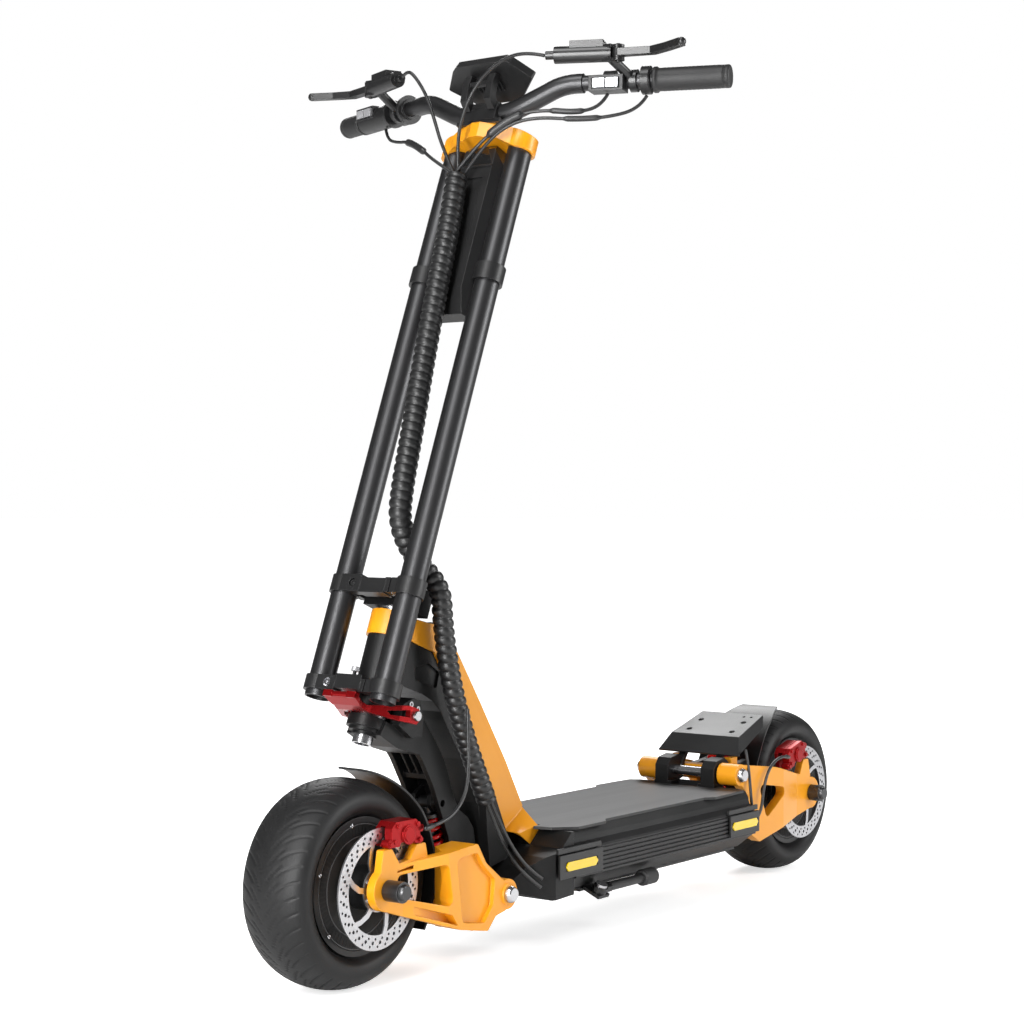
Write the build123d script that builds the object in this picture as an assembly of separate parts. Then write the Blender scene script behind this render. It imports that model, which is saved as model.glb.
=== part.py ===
from build123d import *
import math
import os

# Electric kick scooter. Millimetres, +X forward, +Y to the rider's left, +Z up.
# The origin lies on the ground, midway between the two axles.

os.makedirs("parts", exist_ok=True)

# ---------------------------------------------------------------- driving dimensions
WHEELBASE = 1150.0
TYRE_RADIUS = 140.0
TYRE_WIDTH = 110.0
TYRE_BEAD_RADIUS = 88.0
AXLE_RADIUS = 7.5
DISC_RADIUS = 80.0
DISC_THICKNESS = 2.4
FRONT_X = WHEELBASE / 2
REAR_X = -WHEELBASE / 2
AXLE_Z = TYRE_RADIUS
FRONT_DISC_Y = 75.0
REAR_DISC_Y = 69.0

RAKE = math.radians(21.5)          # stem and steering axis lean back from upright
STEM_FOOT = (547.5, 0.0, 381.0)    # centre of the stem between the lower tube ends
TUBE_RADIUS = 18.0
TUBE_WALL = 2.5
TUBE_Y = 57.6
TUBE_LENGTH = 836.0
STEER_B = -46.0                    # steering axis behind the stem plane
HEAD_LOW, HEAD_HIGH = -5.0, 136.0
HEAD_RADIUS = 28.0
STEERER_RADIUS = 14.0
FOLD_A, FOLD_B = 161.0, -27.0      # fold hinge in stem coordinates
LATCH_A, LATCH_B = 4.0, -75.0      # latch pivot in stem coordinates

FORK_INNER, FORK_OUTER = 22.0, 30.0  # faces of the fork's two flanges, in y
FRONT_PIVOT = (338.0, 102.0)       # front swing arm pivot, x and z
REAR_PIVOT = (-320.0, 197.0)       # rear swing arm pivot, x and z
FRONT_SHOCK_TOP = (384.0, 226.0)
FRONT_SHOCK_LOW = (360.0, 84.0)
REAR_SHOCK_TOP = (-416.0, 250.0)
REAR_SHOCK_LOW = (-388.0, 140.0)
SPRING_RADIUS = 16.5
SPRING_WIRE = 3.0
SPRING_SEAT = 20.0                 # from each shock eye to its spring seat

DECK_FRONT, DECK_REAR = 190.0, -322.0
DECK_HALF = 122.0
DECK_BOTTOM, DECK_TOP = 80.0, 172.0
MAT_THICKNESS = 4.0

BAR_CENTRE = (246.0, 0.0, 1207.0)
BAR_BEND = (226.0, 122.0, 1242.0)
BAR_END = (150.0, 352.5, 1239.0)
BAR_RADIUS = 11.1
GRIP_RADIUS = 16.5
HOSE_RADIUS = 16.5
YOKE_TOP = 857.0                   # top of the yoke, measured up the stem
CABLE_RADIUS = 2.5
RUN_GAP = 0.05                     # radial clearance of a running fit

STAND_PIVOT = (112.0, 110.0, 76.0)
STAND_TILT = math.radians(23.6)    # the stand's bolt leans outwards from upright
STAND_LENGTH = 116.0
FOOT_PLATE_FRONT = (-362.0, 254.0)  # front and rear edges of the raised heel rest, x and z
FOOT_PLATE_REAR = (-452.0, 283.0)
FOOT_PLATE_THICKNESS = 4.0


# ---------------------------------------------------------------- frames and helpers
def stem_point(a, b, y=0.0):
    """A point a mm up the stem and b mm in front of the tube plane."""
    x = STEM_FOOT[0] - a * math.sin(RAKE) + b * math.cos(RAKE)
    z = STEM_FOOT[2] + a * math.cos(RAKE) + b * math.sin(RAKE)
    return (x, y, z)


STEM = Plane(origin=STEM_FOOT, x_dir=(math.cos(RAKE), 0, math.sin(RAKE)),
             z_dir=(-math.sin(RAKE), 0, math.cos(RAKE)))


STAND = Plane(origin=STAND_PIVOT, x_dir=(1, 0, 0), z_dir=(0, math.sin(STAND_TILT), math.cos(STAND_TILT)))


def face_of(points, round_by=0.0):
    face = make_face(Polyline(*points, close=True))
    if round_by:
        face = fillet(face.vertices(), round_by)
    return face


def side_prism(points, y_low, y_high, round_by=0.0):
    """An outline in x and z, as thick as from y_low to y_high."""
    plane = Plane(origin=(0, y_low, 0), x_dir=(1, 0, 0), z_dir=(0, -1, 0))
    return extrude(plane * face_of(points, round_by), amount=y_high - y_low, dir=(0, 1, 0))


def plan_prism(points, z_low, z_high, round_by=0.0):
    """An outline in x and y, from z_low up to z_high."""
    plane = Plane(origin=(0, 0, z_low))
    return extrude(plane * face_of(points, round_by), amount=z_high - z_low)


def across(radius, x, z, y_low, y_high):
    """A cylinder along Y."""
    plane = Plane(origin=(x, y_low, z), x_dir=(1, 0, 0), z_dir=(0, 1, 0))
    return extrude(plane * Circle(radius), amount=y_high - y_low)


def rod(start, end, radius):
    start = Vector(*start)
    run = Vector(*end) - start
    plane = Plane(origin=start, z_dir=run.normalized())
    return extrude(plane * Circle(radius), amount=run.length)


def block(x0, x1, y0, y1, z0, z1):
    return Pos((x0 + x1) / 2, (y0 + y1) / 2, (z0 + z1) / 2) * Box(x1 - x0, y1 - y0, z1 - z0)


def both_sides(shape):
    return [shape, mirror(shape, about=Plane.XZ)]


def mirrored(points):
    """A half outline, in x and y with y above zero, closed by its mirror image."""
    return points + [(x, -y) for x, y in reversed(points)]


def dome(x, z, y, side, radius, height):
    """A domed bolt head that stands on the plane at y and points to side (+1 or -1)."""
    ball = Pos(x, y, z) * Sphere(radius)
    low, high = (y, y + side * height) if side > 0 else (y + side * height, y)
    return ball & block(x - radius, x + radius, low, high, z - radius, z + radius)


def tube_path(points, radius):
    """A round cord: straight runs joined by arcs as large as the runs allow."""
    spots = [Vector(*p) for p in points]
    radii = []
    for before, here, after in zip(spots, spots[1:], spots[2:]):
        first, second = here - before, after - here
        half_turn = math.radians(first.get_angle(second)) / 2
        radii.append(0.45 * min(first.length, second.length) / math.tan(half_turn))
    path = FilletPolyline(*spots, radius=radii)
    start = Plane(origin=spots[0], z_dir=(spots[1] - spots[0]).normalized())
    solid = sweep(start * Circle(radius), path=path)
    ratio = solid.volume / (math.pi * radius * radius * path.length)
    print(f"cord r {radius}: length {path.length:.0f}, least bend {min(radii):.0f}, ratio {ratio:.3f}")
    return solid


def save(name, shapes):
    """Write one node. A list becomes a group of separate solids."""
    group = shapes if isinstance(shapes, list) else [shapes]
    solids = [solid for shape in group for solid in shape.solids()]
    whole = solids[0] if len(solids) == 1 else Compound(children=solids)
    export_step(whole, f"parts/{name}.step")


# ---------------------------------------------------------------- wheels
def tyre(x):
    half = TYRE_WIDTH / 2
    outer = [(-41, TYRE_BEAD_RADIUS), (-41.5, 93), (-half + 1.5, 104), (-half, 113), (-half + 4, 124),
             (-38, 133), (-20, 138.5), (0, TYRE_RADIUS)]
    outer = outer + [(-y, r) for y, r in reversed(outer[:-1])]
    inner = [(31, TYRE_BEAD_RADIUS), (38, 98), (45, 112), (38, 124), (18, 130), (-18, 130),
             (-38, 124), (-45, 112), (-38, 98), (-31, TYRE_BEAD_RADIUS)]
    plane = Plane(origin=(x, 0, AXLE_Z), x_dir=(0, 1, 0), z_dir=(1, 0, 0))
    section = plane * face_of(outer + inner)
    return revolve(section, axis=Axis((x, 0, AXLE_Z), (0, 1, 0)))


def ring(x, r_in, r_out, y_low, y_high):
    return across(r_out, x, AXLE_Z, y_low, y_high) - across(r_in, x, AXLE_Z, y_low - 1, y_high + 1)


def hub(x):
    """Motor shell with its rim flanges, and the two ball bearings in the covers."""
    shell = ring(x, 72, TYRE_BEAD_RADIUS - 0.1, -38, 38)
    flanges = [ring(x, 84, 92, y, y + 2.5) for y in (-44.5, 42)]
    lips = [ring(x, 84, TYRE_BEAD_RADIUS - 0.1, y, y + 6.5) for y in (-44.5, 38)]
    shell = shell + flanges + lips
    bearings = [ring(x, AXLE_RADIUS + RUN_GAP, 14, y, y + 9) for y in (-48, 39)]
    return [shell] + bearings


def motor_covers(x, disc_y):
    """Two covers with radial slots; the left one carries the brake disc boss."""
    covers = []
    for side in (-1, 1):
        low, high = (38, 44) if side > 0 else (-44, -38)
        cover = ring(x, 14, 83.5, low, high)
        boss_end = disc_y - DISC_THICKNESS / 2 if side > 0 else -60
        near, far = sorted((side * 43, boss_end))
        cover = cover + ring(x, 14, 30, near, far)
        cap = ring(x, AXLE_RADIUS + 0.4, 15, *sorted((side * 48.2, boss_end)))
        cover = cover + cap
        for step in range(36):
            turn = Rotation(0, step * 10, 0)
            slot = Pos(x, 0, AXLE_Z) * turn * Pos(75, side * 42, 0) * Box(9, 6, 2.2)
            cover = cover - slot
        covers.append(cover)
    return covers


def brake_disc(x, y):
    """Perforated ring on six swept arms, bolted to the cover boss."""
    low, high = y - DISC_THICKNESS / 2, y + DISC_THICKNESS / 2
    rim = ring(x, 60, DISC_RADIUS, low, high)
    centre = ring(x, AXLE_RADIUS + 4, 30, low, high)
    disc = rim + centre
    for step in range(6):
        arm = side_prism([(22, -4), (40, 0), (54, 10), (65, 24), (60, 29), (49, 15), (37, 7), (20, 4)],
                         low, high)
        disc = disc + Pos(x, 0, AXLE_Z) * Rotation(0, step * 60, 0) * arm
    for row, (radius, size) in enumerate(((65, 1.8), (70, 2.4), (75, 1.8))):
        for step in range(30):
            angle = math.radians(step * 12 + row * 4)
            hole_x, hole_z = x + radius * math.cos(angle), AXLE_Z + radius * math.sin(angle)
            disc = disc - across(size, hole_x, hole_z, low - 1, high + 1)
    bolts = []
    for step in range(6):
        angle = math.radians(step * 60 + 30)
        bolts.append(across(3.5, x + 24 * math.cos(angle), AXLE_Z + 24 * math.sin(angle), high, high + 1.4))
    return [disc] + bolts


def axle_set(x, arm_out, cap_out):
    """Fixed axle, motor stator, spacers and the two domed cap nuts."""
    axle = across(AXLE_RADIUS, x, AXLE_Z, -arm_out - 12, arm_out + 12)
    stator = ring(x, AXLE_RADIUS, 67, -22, 22)
    nuts = []
    for side in (-1, 1):
        low, high = sorted((side * (arm_out + 0.5), side * (cap_out - 6)))
        nut = across(14, x, AXLE_Z, low, high) + dome(x, AXLE_Z, side * (cap_out - 6), side, 11, 6)
        bore_low, bore_high = sorted((side * arm_out, side * (arm_out + 12)))
        nuts.append(nut - across(AXLE_RADIUS, x, AXLE_Z, bore_low, bore_high))
    return [axle, stator] + nuts


def caliper(x, z, disc_y, turn):
    """Two-piece caliper across the disc: cap, bridge bolts, pads and the hose's banjo."""
    low, high = disc_y - 11, disc_y + 17
    side = [(-31, -11), (-31, 12), (-22, 20), (18, 20), (27, 12), (27, -13), (12, -13), (8, -8), (-18, -8),
            (-22, -13)]
    body = side_prism(side, low, high, 2)
    body = body + across(13, -6, 1, high, high + 2.5) + across(10, -6, 1, high, high + 4)
    body = body + across(12, -6, 1, low - 2, low)
    for post_x in (-30, 30):
        body = body + across(5.5, post_x, -8, disc_y + 5, disc_y + 17)
    body = body - block(-40, 40, disc_y - 4.2, disc_y + 4.2, -30, 14)
    body = body - block(-40, 40, disc_y + 7, disc_y + 8, 15, 30)
    spots = ((-25, 13), (14, 14), (21, -6))
    bolts = [across(3.4, bolt_x, bolt_z, high, high + 2.5) for bolt_x, bolt_z in spots]
    bolts += [across(3.4, post_x, -8, high, high + 3) for post_x in (-30, 30)]
    banjo = across(5, -36, 6, disc_y + 6, disc_y + 15) + block(-34, -30, disc_y + 8, disc_y + 13, 3, 9)
    pads = [block(-20, 12, disc_y + y, disc_y + y + 2.6, -7, 4) for y in (-4.1, 1.5)]
    place = Pos(x, 0, z) * Rotation(0, turn, 0)
    return [place * piece for piece in [body] + pads + bolts + [banjo]]


# ---------------------------------------------------------------- swing arms
def front_arm():
    """Leading swing arm: two deep-rimmed cheeks, caliper posts and the beam under the shock."""
    px, pz = FRONT_PIVOT
    outline = [(575, 168), (407, 181), (388, 152), (350, 124), (320, 112), (322, 88), (345, 80),
               (366, 76), (384, 58), (444, 69), (590, 116)]
    window = [(556, 156), (470, 162), (459, 102), (558, 128)]
    plan = [(612, 79), (612, 92), (545, 92), (470, 110), (305, 110), (305, 96), (372, 96), (400, 66),
            (446, 66), (466, 94), (538, 79)]
    plate = side_prism(outline, 60, 120, 5) + across(28, FRONT_X, AXLE_Z, 60, 120)
    plate = plate + across(21, px, pz, 60, 120)
    plate = (plate & plan_prism(plan, 0, 220)) - side_prism(window, 60, 120, 9)
    pocket = [(452, 166), (408, 169), (394, 150), (368, 127), (372, 92), (392, 70), (440, 78)]
    plate = plate - side_prism(pocket, 103, 120, 8)
    slot = [(556, 165), (466, 172), (462, 167), (556, 160)]
    plate = plate - side_prism(slot, 84, 96)
    plate = plate - side_prism([(560, 122), (462, 92), (450, 76), (562, 112)], 96, 120)
    plate = plate + across(15, px, pz, 108, 113)
    plate = plate - across(AXLE_RADIUS, FRONT_X, AXLE_Z, 60, 130) - across(8.05, px, pz, 60, 130)
    posts = side_prism([(590, 160), (584, 193), (567, 193), (552, 172), (530, 174), (516, 193),
                        (498, 193), (492, 168)], 80, 92, 3)
    arm = plate + mirror(plate, about=Plane.XZ) + posts
    arm = arm + block(374, 404, -98, 98, 60, 84)
    for side in (-1, 1):
        low, high = sorted((side * 11, side * 18))
        lug = side_prism([(386, 62), (386, 84), (370, 96), (352, 94), (350, 76), (366, 62)], low, high, 3)
        arm = arm + lug
    return arm - across(5.05, *FRONT_SHOCK_LOW, -40, 40)


def rear_arm():
    px, pz = REAR_PIVOT
    outline = [(-320, 214), (-436, 199), (-575, 166), (-598, 128), (-586, 116), (-382, 80),
               (-346, 99), (-344, 160), (-322, 181)]
    window = [(-378, 176), (-484, 160), (-405, 116)]
    plan = [(-612, 73), (-612, 86), (-524, 86), (-462, 95), (-296, 95), (-296, 79), (-455, 79), (-520, 73)]
    plate = side_prism(outline, 50, 110, 5) + across(27, REAR_X, AXLE_Z, 50, 110)
    plate = plate + across(18, px, pz, 50, 110)
    plate = (plate & plan_prism(plan, 0, 260)) - side_prism(window, 50, 110, 9)
    plate = plate + across(18, px, pz, 59, 95)
    plate = plate - across(AXLE_RADIUS, REAR_X, AXLE_Z, 50, 130) - across(8.05, px, pz, 50, 130)
    posts = side_prism([(-574, 162), (-564, 200), (-547, 200), (-534, 172)], 74, 86, 3)
    arm = plate + mirror(plate, about=Plane.XZ) + posts
    arm = arm + block(-404, -374, -82, 82, 84, 106) + block(-372, -350, -82, 82, 188, 204)
    for side in (-1, 1):
        low, high = sorted((side * 11, side * 18))
        lug = side_prism([(-374, 90), (-374, 140), (-382, 152), (-396, 152), (-402, 140), (-402, 90)],
                         low, high, 3)
        horn_low, horn_high = sorted((side * 44, side * 58))
        arm = arm + lug + block(-370, -352, horn_low, horn_high, 200, 220)
    return arm - across(5.05, *REAR_SHOCK_LOW, -40, 40)


def fender(x, turn_from, turn_to, radius, plan):
    """An arched shell over the tyre, tapered in plan, from one angle to the other."""
    shell = ring(x, radius, radius + 3, -70, 70)
    reach = 260
    mid = (turn_from + turn_to) / 2
    corners = [(x, AXLE_Z)]
    for angle in (turn_from, (turn_from + mid) / 2, mid, (mid + turn_to) / 2, turn_to):
        turn = math.radians(angle)
        corners.append((x + reach * math.cos(turn), AXLE_Z + reach * math.sin(turn)))
    return (shell & side_prism(corners, -80, 80)) & plan_prism(plan, -20, 400)


def front_fender():
    plan = mirrored([(562, 9), (520, 26), (450, 47), (410, 50)])
    stay = side_prism([(404, 66), (404, 80), (432, 84), (450, 74), (446, 66)], -20, 20, 2)
    stay = stay - across(150, FRONT_X, AXLE_Z, -30, 30)
    return fender(FRONT_X, 97, 211, 150, plan) + stay


def rear_fender():
    plan = mirrored([(-548, 34), (-500, 50), (-450, 58), (-420, 58)])
    shell = fender(REAR_X, 12, 79, 149, plan)
    for side in (-1, 1):
        low, high = sorted((side * 28, side * 40))
        stay = side_prism([(-372, 190), (-372, 202), (-420, 206), (-440, 208), (-436, 186)], low, high, 2)
        shell = shell + (stay - across(149, REAR_X, AXLE_Z, -60, 60))
    return shell


def shock(top, low):
    """Coil-over damper between two eyes: upper body, lower rod, spring."""
    run = math.hypot(low[0] - top[0], low[1] - top[1])
    down = Plane(origin=(top[0], 0, top[1]), x_dir=(0, 1, 0), z_dir=(low[0] - top[0], 0, low[1] - top[1]))
    eye = Rotation(0, 90, 0) * Cylinder(9, 18)
    pin_hole = Rotation(0, 90, 0) * Cylinder(5 + RUN_GAP, 30)
    wide_hole = Rotation(0, 90, 0) * Cylinder(6, 30)

    def column(radius, start, end):
        return Pos(0, 0, (start + end) / 2) * Cylinder(radius, end - start)

    body_end = 0.6 * run
    body = eye + column(11, 6, body_end) + column(20, SPRING_SEAT - 5, SPRING_SEAT)
    body = body - pin_hole - column(5 + RUN_GAP + 0.1, 0.2 * run, run)
    stem = column(5, 0.36 * run, run - 6) + column(20, run - SPRING_SEAT, run - SPRING_SEAT + 5)
    stem = stem + Pos(0, 0, run) * eye - Pos(0, 0, run) * wide_hole
    length = run - 2 * SPRING_SEAT - 2 * SPRING_WIRE
    turns = round(length / 16)
    coil = Helix(pitch=length / turns, height=length, radius=SPRING_RADIUS)
    wire = sweep(Plane(origin=coil @ 0, z_dir=coil % 0) * Circle(SPRING_WIRE), path=coil, is_frenet=True)
    wire = Pos(0, 0, SPRING_SEAT + SPRING_WIRE) * wire
    print(f"spring volume ratio {wire.volume / (math.pi * SPRING_WIRE ** 2 * coil.length):.3f}")
    return down * body, down * stem, down * wire


# ---------------------------------------------------------------- frame and deck
def neck_frame():
    """Head tube, curved spine and the cast nose that closes the deck."""
    spine = [(456, 487), (397, 478), (364, 446), (306, 364), (247, 277), (203, 198), (192, 172), (192, 90),
             (280, 90), (290, 110), (297, 140), (302, 180), (307, 218), (345, 284), (385, 342), (393, 355),
             (410, 371), (432, 382), (462, 392), (490, 402)]
    head_middle, head_length = (HEAD_LOW + HEAD_HIGH) / 2, HEAD_HIGH - HEAD_LOW
    head = STEM * (Pos(STEER_B, 0, head_middle) * Cylinder(HEAD_RADIUS, head_length))
    neck = side_prism(spine, -33, 33) + head
    nose_side = [(DECK_FRONT, 80), (240, 78), (284, 92), (286, 110), (270, 128), (248, 140), (219, 150),
                 (196, 171), (DECK_FRONT, 171)]
    nose_plan = mirrored([(DECK_FRONT, 118), (235, 117.8), (262, 100), (287, 78)])
    nose = side_prism(nose_side, -125, 125) & plan_prism(nose_plan, 60, 200)
    cheek = side_prism([(296, 126), (302, 175), (306, 218), (290, 240), (258, 174), (250, 135)], -46, 46)
    neck = neck + nose + cheek
    bore = Pos(STEER_B, 0, 60) * Cylinder(STEERER_RADIUS + 2, 200)
    seats = [Pos(STEER_B, 0, a) * Cylinder(22, 12) for a in (HEAD_LOW + 6, HEAD_HIGH - 6)]
    swing_room = Pos(STEER_B, 0, HEAD_HIGH + 25) * Cylinder(52, 50)
    for hollow in [bore, swing_room] + seats:
        neck = neck - STEM * hollow
    for side in (-1, 1):
        low, high = sorted((side * 20, side * 40))
        pocket = side_prism([(402, 388), (425, 396), (450, 404), (450, 420), (420, 424), (396, 410)],
                            low, high, 4)
        neck = neck - (pocket - block(300, 500, -29, 29, 300, 500))
    return neck


def neck_trim(neck):
    """Painted side panels of the spine and the painted ring round the head tube."""
    panel = [(449, 486), (397, 474), (364, 442), (306, 360), (247, 273), (206, 204), (212, 186), (250, 172),
             (306, 284), (411, 439), (461, 457)]
    side = side_prism(panel, 33, 36.5)
    inner = Plane(origin=(0, 33, 0), x_dir=(1, 0, 0), z_dir=(0, -1, 0))
    outer = Plane(origin=(0, 60, 0), x_dir=(1, 0, 0), z_dir=(0, -1, 0))
    flare = loft([inner * face_of([(206, 204), (198, 186), (216, 172), (252, 172)]),
                  outer * face_of([(200, 176), (193, 171.5), (219, 150.5), (248, 170)])])
    side = (side + flare) - neck
    band = Pos(STEER_B, 0, 118.5) * (Cylinder(31, 35) - Cylinder(HEAD_RADIUS, 40))
    spine_room = [(460, 492), (397, 482), (364, 446), (400, 380), (452, 440)]
    band = STEM * band - neck - side_prism(spine_room, -37, 37)
    return both_sides(side) + [band]


def deck_section(half, low, high):
    """Half of the deck's cross-section in y and z, with the ribs of the side rail."""
    points = [(half - 34, low), (half - 6, low + 22)]
    rib_low, rib_high, ribs = 104.0, 142.0, 6
    step = (rib_high - rib_low) / ribs
    for index in range(ribs):
        z = rib_low + index * step
        points += [(half, z), (half, z + step * 0.55), (half - 2.4, z + step * 0.6), (half - 2.4, z + step)]
    points += [(half - 4, 145), (half - 12, 152), (half - 14, 160), (half - 20, high)]
    return points


def deck_chassis():
    half = deck_section(DECK_HALF, DECK_BOTTOM, DECK_TOP)
    outline = half + [(-y, z) for y, z in reversed(half)]
    plane = Plane(origin=(DECK_REAR, 0, 0), x_dir=(0, 1, 0), z_dir=(1, 0, 0))
    body = extrude(plane * face_of(outline), amount=DECK_FRONT - DECK_REAR)
    hollow = block(DECK_REAR + 8, DECK_FRONT - 6, -86, 86, DECK_BOTTOM - 1, DECK_TOP - 6)
    return body - hollow


def deck_mat():
    """Rubber-topped lid, wide at both ends and waisted between them."""
    plan = mirrored([(-310, 96), (-300, 112), (-206, 116), (-190, 104), (90, 104), (106, 116), (176, 116),
                     (204, 88), (212, 60)])
    mat = plan_prism(plan, DECK_TOP, DECK_TOP + MAT_THICKNESS, 3)
    sockets = side_prism([(300, 165), (306, 215), (250, 262), (203, 198), (192, 172), (192, 160)], -61, 61)
    return mat - sockets - block(-330, -294, -60, 60, 160, 190)


def corner_pods():
    """Four moulded pods on the deck's corners, each with its reflector."""
    pods, reflectors = [], []
    for front, rear in ((236, 128), (-236, -326)):
        pod = block(rear, front, 123.2, 126.5, 108, 142)
        pod = pod + block(rear, front, 119.3, 123.2, 143.5, 151)
        centre = (front + rear) / 2
        seat = block(centre - 40, centre + 40, 125.2, 130, 118, 131)
        pods += both_sides(pod - seat)
        lens = side_prism([(centre - 40, 124.5), (centre - 34, 118), (centre + 34, 118),
                           (centre + 40, 124.5), (centre + 34, 131), (centre - 34, 131)], 125.2, 127.6)
        reflectors += both_sides(lens)
    return pods, reflectors


def underbody():
    """Bottom plate of the deck and the tilted bracket of the kickstand."""
    outline = mirrored([(-320, 80), (-312, 87), (180, 87), (188, 80)])
    plate = plan_prism(outline, DECK_BOTTOM - 4, DECK_BOTTOM, 3)
    bracket = STAND * (Pos(0, -8, -7.2) * Box(28, 38, 5)) - block(60, 160, 60, 90, 76, 90)
    bracket = bracket + block(92, 132, 70, 87, 72, 76)
    return [plate, bracket - STAND * Cylinder(5 + RUN_GAP, 40)]


def battery():
    """Cell pack: a wrapped block with a ribbed tray."""
    pack = block(-300, 70, -82, 82, DECK_BOTTOM + 6, DECK_TOP - 12)
    for x in range(-270, 60, 40):
        for y in (-83, 83):
            pack = pack - block(x, x + 6, y - 4, y + 4, DECK_BOTTOM, DECK_TOP)
    return pack


def controllers():
    pieces = []
    for y in (-42, 42):
        case = block(80, 176, y - 40, y + 40, DECK_BOTTOM + 6, DECK_BOTTOM + 44)
        for step in range(7):
            slot_y = y - 34 + step * 11
            case = case - block(78, 180, slot_y, slot_y + 4, DECK_BOTTOM + 38, DECK_BOTTOM + 50)
        pieces.append(case)
    return pieces


def plate_band():
    """Side outline of the heel rest's flat top, as thick as its sheet."""
    (x0, z0), (x1, z1) = FOOT_PLATE_FRONT, FOOT_PLATE_REAR
    length = math.hypot(x1 - x0, z1 - z0)
    off_x, off_z = FOOT_PLATE_THICKNESS * (z1 - z0) / length, FOOT_PLATE_THICKNESS * (x0 - x1) / length
    return [(x0, z0), (x1, z1), (x1 - off_x, z1 - off_z), (x0 - off_x, z0 - off_z)]


def rear_mount():
    """Brackets on the deck's tail that hold the arm pivot and the foot plate."""
    px, pz = REAR_PIVOT
    base = block(DECK_REAR - 4, DECK_REAR, -58, 58, 100, 171)
    base = base + block(DECK_REAR - 4, -296, -58, 58, DECK_TOP, 180.5)
    base = base - block(-330, -290, -26, 26, 174, 184)
    mount = base + block(DECK_REAR - 4, DECK_REAR, -58, 58, 160, 180.5)
    for side in (-1, 1):
        low, high = sorted((side * 32, side * 57))
        ear = side_prism([(-344, 182), (-344, 214), (-330, 222), (-306, 218), (-296, 206), (-296, 178),
                          (-326, 177.5)], low, high, 2)
        low, high = sorted((side * 30, side * 42))
        prop = side_prism([(-338, 208), (-350, 225), (-366, 245), (-452, 273), (-452, 266), (-376, 242),
                           (-360, 226), (-344, 204), (-336, 200)], low, high)
        mount = mount + ear + prop
    for side in (-1, 1):
        low, high = sorted((side * 11, side * 17))
        tab = side_prism([(-398, 262), (-436, 274), (-434, 246), (-424, 238), (-408, 238), (-400, 246)],
                         low, high, 3)
        mount = mount + tab
    bridge = side_prism([(-402, 259), (-432, 268.7), (-432, 264), (-402, 257)], -42, 42)
    mount = mount + bridge
    mount = mount - side_prism(plate_band(), -80, 80)
    return mount - across(8.05, px, pz, -120, 120) - across(5.05, *REAR_SHOCK_TOP, -40, 40)


def slab(corners, thickness, inside):
    """A flat sheet whose thickness lies on the side of the point inside."""
    face = make_face(Polyline(*corners, close=True)).faces()[0]
    towards = (inside - face.center()).dot(face.normal_at())
    return extrude(face, amount=math.copysign(thickness, towards), dir=face.normal_at())


def foot_plate():
    """Raised heel rest: a folded plate on the tail brackets, and the tail light below its edge."""
    front_edge = Vector(FOOT_PLATE_FRONT[0], 66, FOOT_PLATE_FRONT[1])
    rear_edge = Vector(FOOT_PLATE_REAR[0], 60, FOOT_PLATE_REAR[1])
    low_front = Vector(-340, 79, 226)
    low_rear = rear_edge + (low_front - front_edge) * 0.7
    inside = Vector(-395, 0, 230)

    def across_deck(points):
        return points + [Vector(p.X, -p.Y, p.Z) for p in reversed(points)]

    plate = slab(across_deck([front_edge, rear_edge]), FOOT_PLATE_THICKNESS, inside)
    skirt = slab(across_deck([low_front, front_edge]), FOOT_PLATE_THICKNESS, inside)
    side = slab([rear_edge, front_edge, low_front, low_rear], 3, inside)
    plate = plate + skirt + side + mirror(side, about=Plane.XZ)
    for x, y in ((-380, 42), (-380, -42), (-418, 42), (-418, -42)):
        plate = plate - Pos(x, y, 262) * Cylinder(5, 60)
    for x, y in ((-440, 30), (-440, 44)):
        plate = plate - Pos(x, y, 262) * Cylinder(2.5, 60)
    light = side_prism([(-449, 277), (-453, 277), (-453, 266), (-447, 266)], -28, 28)
    return [plate, light]


def frame_fasteners():
    """Rear pivot rod with its domed heads, deck lid screws and the kickstand bolt."""
    px, pz = REAR_PIVOT
    pivot = across(8, px, pz, -96, 96) + dome(px, pz, 95.5, 1, 12, 8) + dome(px, pz, -95.5, -1, 12, 8)
    screws = []
    for x in (-290, -175, -60, 60, 172):
        for y in (-72, 72):
            screws.append(Pos(x, y, DECK_BOTTOM - 5.2) * Cylinder(4, 2.4))
    top_eye = across(5, *REAR_SHOCK_TOP, -22, 22)
    bolt = STAND * (Pos(0, 0, -2.6) * Cylinder(5, 14.6) + Pos(0, 0, 6.9) * Cylinder(9, 4.4))
    return [pivot, top_eye, bolt] + screws


# ---------------------------------------------------------------- fork and latch
def stem_prism(outline, y_low, y_high, round_by=0.0):
    """An outline of (forward, up) points in the stem frame, from y_low to y_high."""
    plane = Plane(origin=(0, y_low, 0), x_dir=(1, 0, 0), z_dir=(0, -1, 0))
    return STEM * extrude(plane * face_of(outline, round_by), amount=y_high - y_low, dir=(0, 1, 0))


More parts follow.
